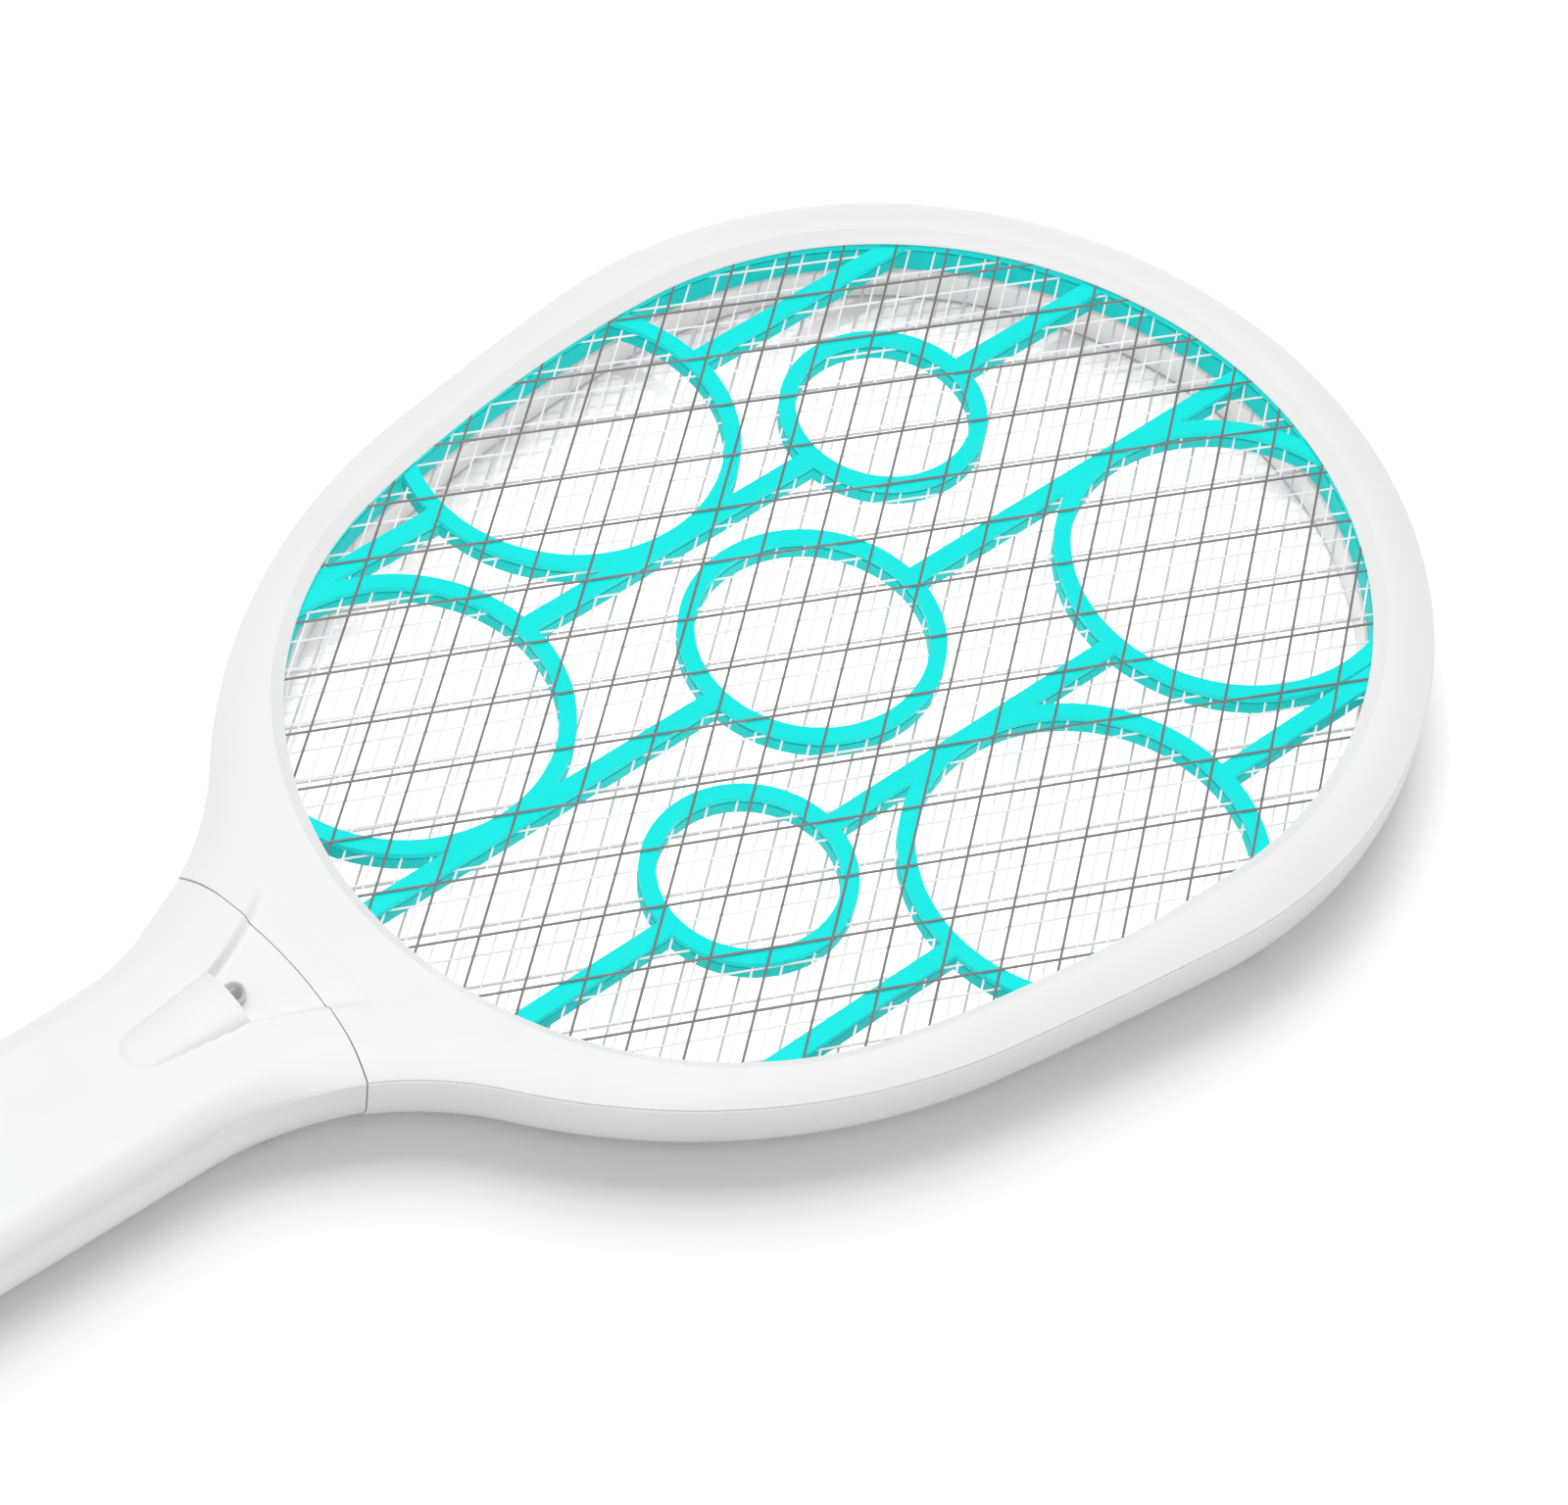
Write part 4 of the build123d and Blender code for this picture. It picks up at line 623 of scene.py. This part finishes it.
# ---------------------------------------------------------------- net
def clip_span(boundary, origin, direction):
    """Where a line enters and leaves a closed boundary, as two running lengths."""
    after = np.roll(boundary, -1, axis=0)
    normal = np.array([-direction[1], direction[0]])
    side, next_side = (boundary - origin) @ normal, (after - origin) @ normal
    crossing = np.nonzero(side * next_side < 0)[0]
    if len(crossing) < 2:
        return None
    t = side[crossing] / (side[crossing] - next_side[crossing])
    hits = boundary[crossing] + t[:, None] * (after - boundary)[crossing]
    along = (hits - origin) @ direction
    return along.min(), along.max()


def wire_mesh(name, sets, low, radius, finish, node, lift):
    """A mesh of round wires; the second set lies lift higher than the first."""
    verts, faces, sides = [], [], 10
    ring = np.linspace(0, 2 * pi, sides, endpoint=False)
    boundary = mirrored(left_opening(WIRE_HOLD)[0])
    for layer, (angle, pitch, phase) in enumerate(sets):
        direction, across = unit(angle + 90), unit(angle + 180)
        z = low + radius + layer * lift
        wires = int(150 / pitch)
        for k in range(-wires, wires + 1):
            origin = np.array([0, NET_Y]) + across * (phase + pitch * k)
            span = clip_span(boundary, origin, direction)
            if span is None:
                continue
            base = len(verts)
            for along in span:
                for a in ring:
                    x, y = origin + direction * along + across * radius * cos(a)
                    verts.append((x, y, z + radius * sin(a)))
            near, far = tuple(range(base, base + sides)), tuple(range(base + sides, base + 2 * sides))
            for j in range(sides):
                after = (j + 1) % sides
                faces.append((near[j], near[after], far[after], far[j]))
            faces += [near[::-1], far]
    obj = make_object(name, verts, faces, finish, sharp=50)
    stand_in(obj, node)
    return obj


def net():
    """The three wire meshes. Bounced light takes no colour from them or the grilles."""
    wire_mesh("front_wires", COARSE_WIRES, FRONT_MESH_Z + 0.1, 0.25, "wire_dark", "front_mesh", 0.08)
    live = wire_mesh("live_wires", FINE_WIRES, MIDDLE_MESH_Z + 0.04, 0.21, "wire_light", "middle_mesh", 0.1)
    live.data.materials[0] = FINE_WIRE
    wire_mesh("rear_wires", REAR_WIRES, SEAT_Z + 0.1, 0.26, "wire_light", "rear_mesh", 0.08)
    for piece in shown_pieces():
        if piece.name.startswith(SEE_THROUGH):
            piece.visible_diffuse = False


def torch():
    """The torch's LED: a cylinder along +Y with a dome that stands clear of the hood."""
    x0, y0, z0 = LED_CENTRE
    profile = [(LED_BACK_Y, 0.0), (LED_BACK_Y, LED_RADIUS)] + [
        (y0 + LED_RADIUS * sin(a), LED_RADIUS * cos(a)) for a in np.linspace(0, pi / 2, 12)]
    sides = 36
    verts = [(x0 + r * cos(a), y, z0 + r * sin(a))
             for y, r in profile for a in np.linspace(0, 2 * pi, sides, endpoint=False)]
    faces = grid_faces(len(profile), sides, wrap_cols=True)
    stand_in(make_object("torch_led_dome", verts, faces, "clear_lens"), "torch_led")


def round_hole(radius):
    """Outline of a round hole about its middle, in mm."""
    return [(radius * cos(a), radius * sin(a)) for a in np.linspace(0, 2 * pi, 48, endpoint=False)]


def square_hole(width, length, corner=1.0):
    """Outline of a rectangular hole with rounded corners about its middle, in mm."""
    x, y = width / 2 - corner, length / 2 - corner
    return [(sx * x + corner * cos(a + turn), sy * y + corner * sin(a + turn))
            for sx, sy, turn in ((1, 1, 0), (-1, 1, pi / 2), (-1, -1, pi), (1, -1, 1.5 * pi))
            for a in np.linspace(0, pi / 2, 6)]


def cutter(outline, place, low, high):
    """A closed prism on an outline at a place, in mm, to cut with."""
    count = len(outline)
    verts = [((px + place[0]) * MM, (py + place[1]) * MM, z * MM) for z in (low, high) for px, py in outline]
    faces = [tuple(range(count))[::-1], tuple(range(count, 2 * count))]
    faces += [(j, (j + 1) % count, count + (j + 1) % count, count + j) for j in range(count)]
    mesh = bpy.data.meshes.new("cutter")
    mesh.from_pydata(verts, [], faces)
    return link(bpy.data.objects.new("cutter", mesh))


def cut(obj, cutters):
    """Subtract each cutter from a skin and keep only the result."""
    for tool in cutters:
        step = obj.modifiers.new("cut", "BOOLEAN")
        step.operation, step.solver, step.object = "DIFFERENCE", "EXACT", tool
    graph = bpy.context.evaluated_depsgraph_get()
    result = bpy.data.meshes.new_from_object(obj.evaluated_get(graph))
    obj.modifiers.clear()
    old = obj.data
    obj.data = result
    bpy.data.meshes.remove(old)
    for tool in cutters:
        mesh = tool.data
        bpy.data.objects.remove(tool)
        bpy.data.meshes.remove(mesh)


def head_screw_spots():
    """Where the head's seven screws stand, from the CAD screws themselves."""
    node = NODES["head_screws"]
    points = np.array([node.matrix_world @ v.co for v in node.data.vertices])[:, :2] / MM
    spots, reach = [], 5.0
    for p in points:
        if not any(np.hypot(*(p - s)) < reach for s in spots):
            near = points[np.hypot(*(points - p).T) < reach]
            spots.append((near.min(0) + near.max(0)) / 2)
    return spots


def open_skins(rear, handle_front, handle_rear):
    """Openings for the controls, the screws and the plug's thumb slide."""
    inside, above, below = 9, 30, -1
    cut(handle_front, [cutter(round_hole(BUTTON_HOLE), (0, BUTTON_Y), inside, above),
                       cutter(square_hole(*SLIDER_HOLE), (0, SLIDER_Y), inside, above),
                       cutter(round_hole(INDICATOR_HOLE), (0, INDICATOR_Y), inside, above)])
    cut(handle_rear, [cutter(round_hole(HANDLE_SCREW_HOLE), spot, below, 1.05) for spot in HANDLE_SCREWS]
        + [cutter(square_hole(*PLUG_TRACK), (0, PLUG_SLOT_Y), below, 1.3),
           cutter(square_hole(*PLUG_SLOT), (0, PLUG_SLOT_Y), below, 4)])
    cut(rear, [cutter(round_hole(HEAD_SCREW_HOLE), spot, below, 3.15) for spot in head_screw_spots()])


def spring():
    """The button's return spring, a copy of its CAD node's mesh that rides on the frame."""
    node = NODES["button_spring"]
    coil = link(bpy.data.objects.new("button_spring_coil", node.data.copy()))
    coil.matrix_world = node.matrix_world.copy()
    stand_in(coil, "button_spring")
    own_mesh(coil)


def skins():
    """Shells of head and handle, in place of their CAD nodes."""
    front = head_front_skin()
    rear = head_rear_skin()
    handle_front, handle_rear = handle_skins()
    for obj, node in ((front, "head_front_shell"), (rear, "head_rear_shell"),
                      (handle_front, "handle_front_shell"), (handle_rear, "handle_rear_shell")):
        stand_in(obj, node)
    open_skins(rear, handle_front, handle_rear)


# ---------------------------------------------------------------- floor, light and camera
def stage():
    """A plain pale floor."""
    mesh = bpy.data.meshes.new("floor")
    corners = [(-FLOOR_REACH, -FLOOR_REACH, 0), (FLOOR_REACH, -FLOOR_REACH, 0),
               (FLOOR_REACH, FLOOR_REACH, 0), (-FLOOR_REACH, FLOOR_REACH, 0)]
    mesh.from_pydata(corners, [], [(0, 1, 2, 3)])
    floor = link(bpy.data.objects.new("floor", mesh))
    floor.location.z = -FLOOR_DROP
    mat = material("floor_paper", (0.93, 0.93, 0.93), 0.9)
    vary_roughness(mat, noise(mat, 40), 0.85, 0.95)
    shader = mat.node_tree.nodes["Principled BSDF"]
    shader.inputs["Emission Color"].default_value = (1, 1, 1, 1)
    shader.inputs["Emission Strength"].default_value = FLOOR_GLOW
    mesh.materials.append(mat)
    floor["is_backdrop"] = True


def group(name, members):
    """A collection for a light to shine on, or to be blocked by."""
    made = bpy.data.collections.new(name)
    for obj in members:
        made.objects.link(obj)
    return made


def area_light(name, place, target, energy, size, receivers):
    """A square area light aimed at a point, for one collection of objects."""
    data = bpy.data.lights.new(name, "AREA")
    data.energy, data.size = energy, size
    lamp = link(bpy.data.objects.new(name, data))
    lamp.location = place
    lamp.rotation_euler = (Vector(target) - Vector(place)).to_track_quat("-Z", "Y").to_euler()
    lamp.light_linking.receiver_collection = receivers
    return lamp


def net_light(name, place, reach, floor, nobody):
    """A lamp straight down through the net, so that the floor under it stays as pale as round it."""
    data = bpy.data.lights.new(name, "SPOT")
    data.energy, data.shadow_soft_size = FLOOR_SPOT, 0.01
    data.spot_size, data.spot_blend = 2 * atan2(reach * MM, SPOT_HEIGHT), 0.06
    lamp = link(bpy.data.objects.new(name, data))
    lamp.location = (place[0] * MM, place[1] * MM, SPOT_HEIGHT)
    lamp.light_linking.receiver_collection = floor
    lamp.light_linking.blocker_collection = nobody


def lights():
    """Two soft lamps and a surround for the swatter; a key and two spots for the floor."""
    world = bpy.data.worlds.new("studio")
    world.use_nodes = True
    background = world.node_tree.nodes["Background"]
    background.inputs["Color"].default_value = (1, 1, 1, 1)
    background.inputs["Strength"].default_value = WORLD_LIGHT
    bpy.context.scene.world = world
    floor = group("floor_only", [o for o in bpy.data.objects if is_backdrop(o)])
    swatter = group("swatter_only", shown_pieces())
    middle = (0, 0.05, 0)
    area_light("overhead", (-0.4, 0.25, 1.75), middle, OVERHEAD_LIGHT, 1.3, swatter)
    area_light("swatter_fill", (0.3, -0.2, 1.6), middle, SWATTER_FILL, 0.7, swatter)
    key = area_light("floor_key", (-0.80, 0.62, 1.15), middle, FLOOR_KEY, 1.3, floor)
    solid = group("floor_blockers", [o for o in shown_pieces() if not o.name.startswith(SEE_THROUGH)])
    key.light_linking.blocker_collection = solid
    nobody = group("no_blockers", [])
    for number, (place, reach) in enumerate(SPOTS):
        net_light(f"floor_spot_{number}", place, reach, floor, nobody)


def camera():
    """The camera, looking down along the swatter from its handle's side."""
    data = bpy.data.cameras.new("camera")
    data.lens, data.sensor_width, data.sensor_fit = CAMERA_LENS, CAMERA_SENSOR, "HORIZONTAL"
    cam = link(bpy.data.objects.new("camera", data))
    right, forward = Vector(CAMERA_RIGHT).normalized(), Vector(CAMERA_FORWARD).normalized()
    up = right.cross(forward).normalized()
    turned = Matrix((right, up, -forward)).transposed().to_4x4()
    cam.matrix_world = Matrix.Translation(CAMERA_PLACE) @ turned
    bpy.context.scene.camera = cam


bpy.context.scene.view_settings.view_transform = "Standard"
dress_nodes()
skins()
torch()
spring()
net()
stage()
lights()
camera()
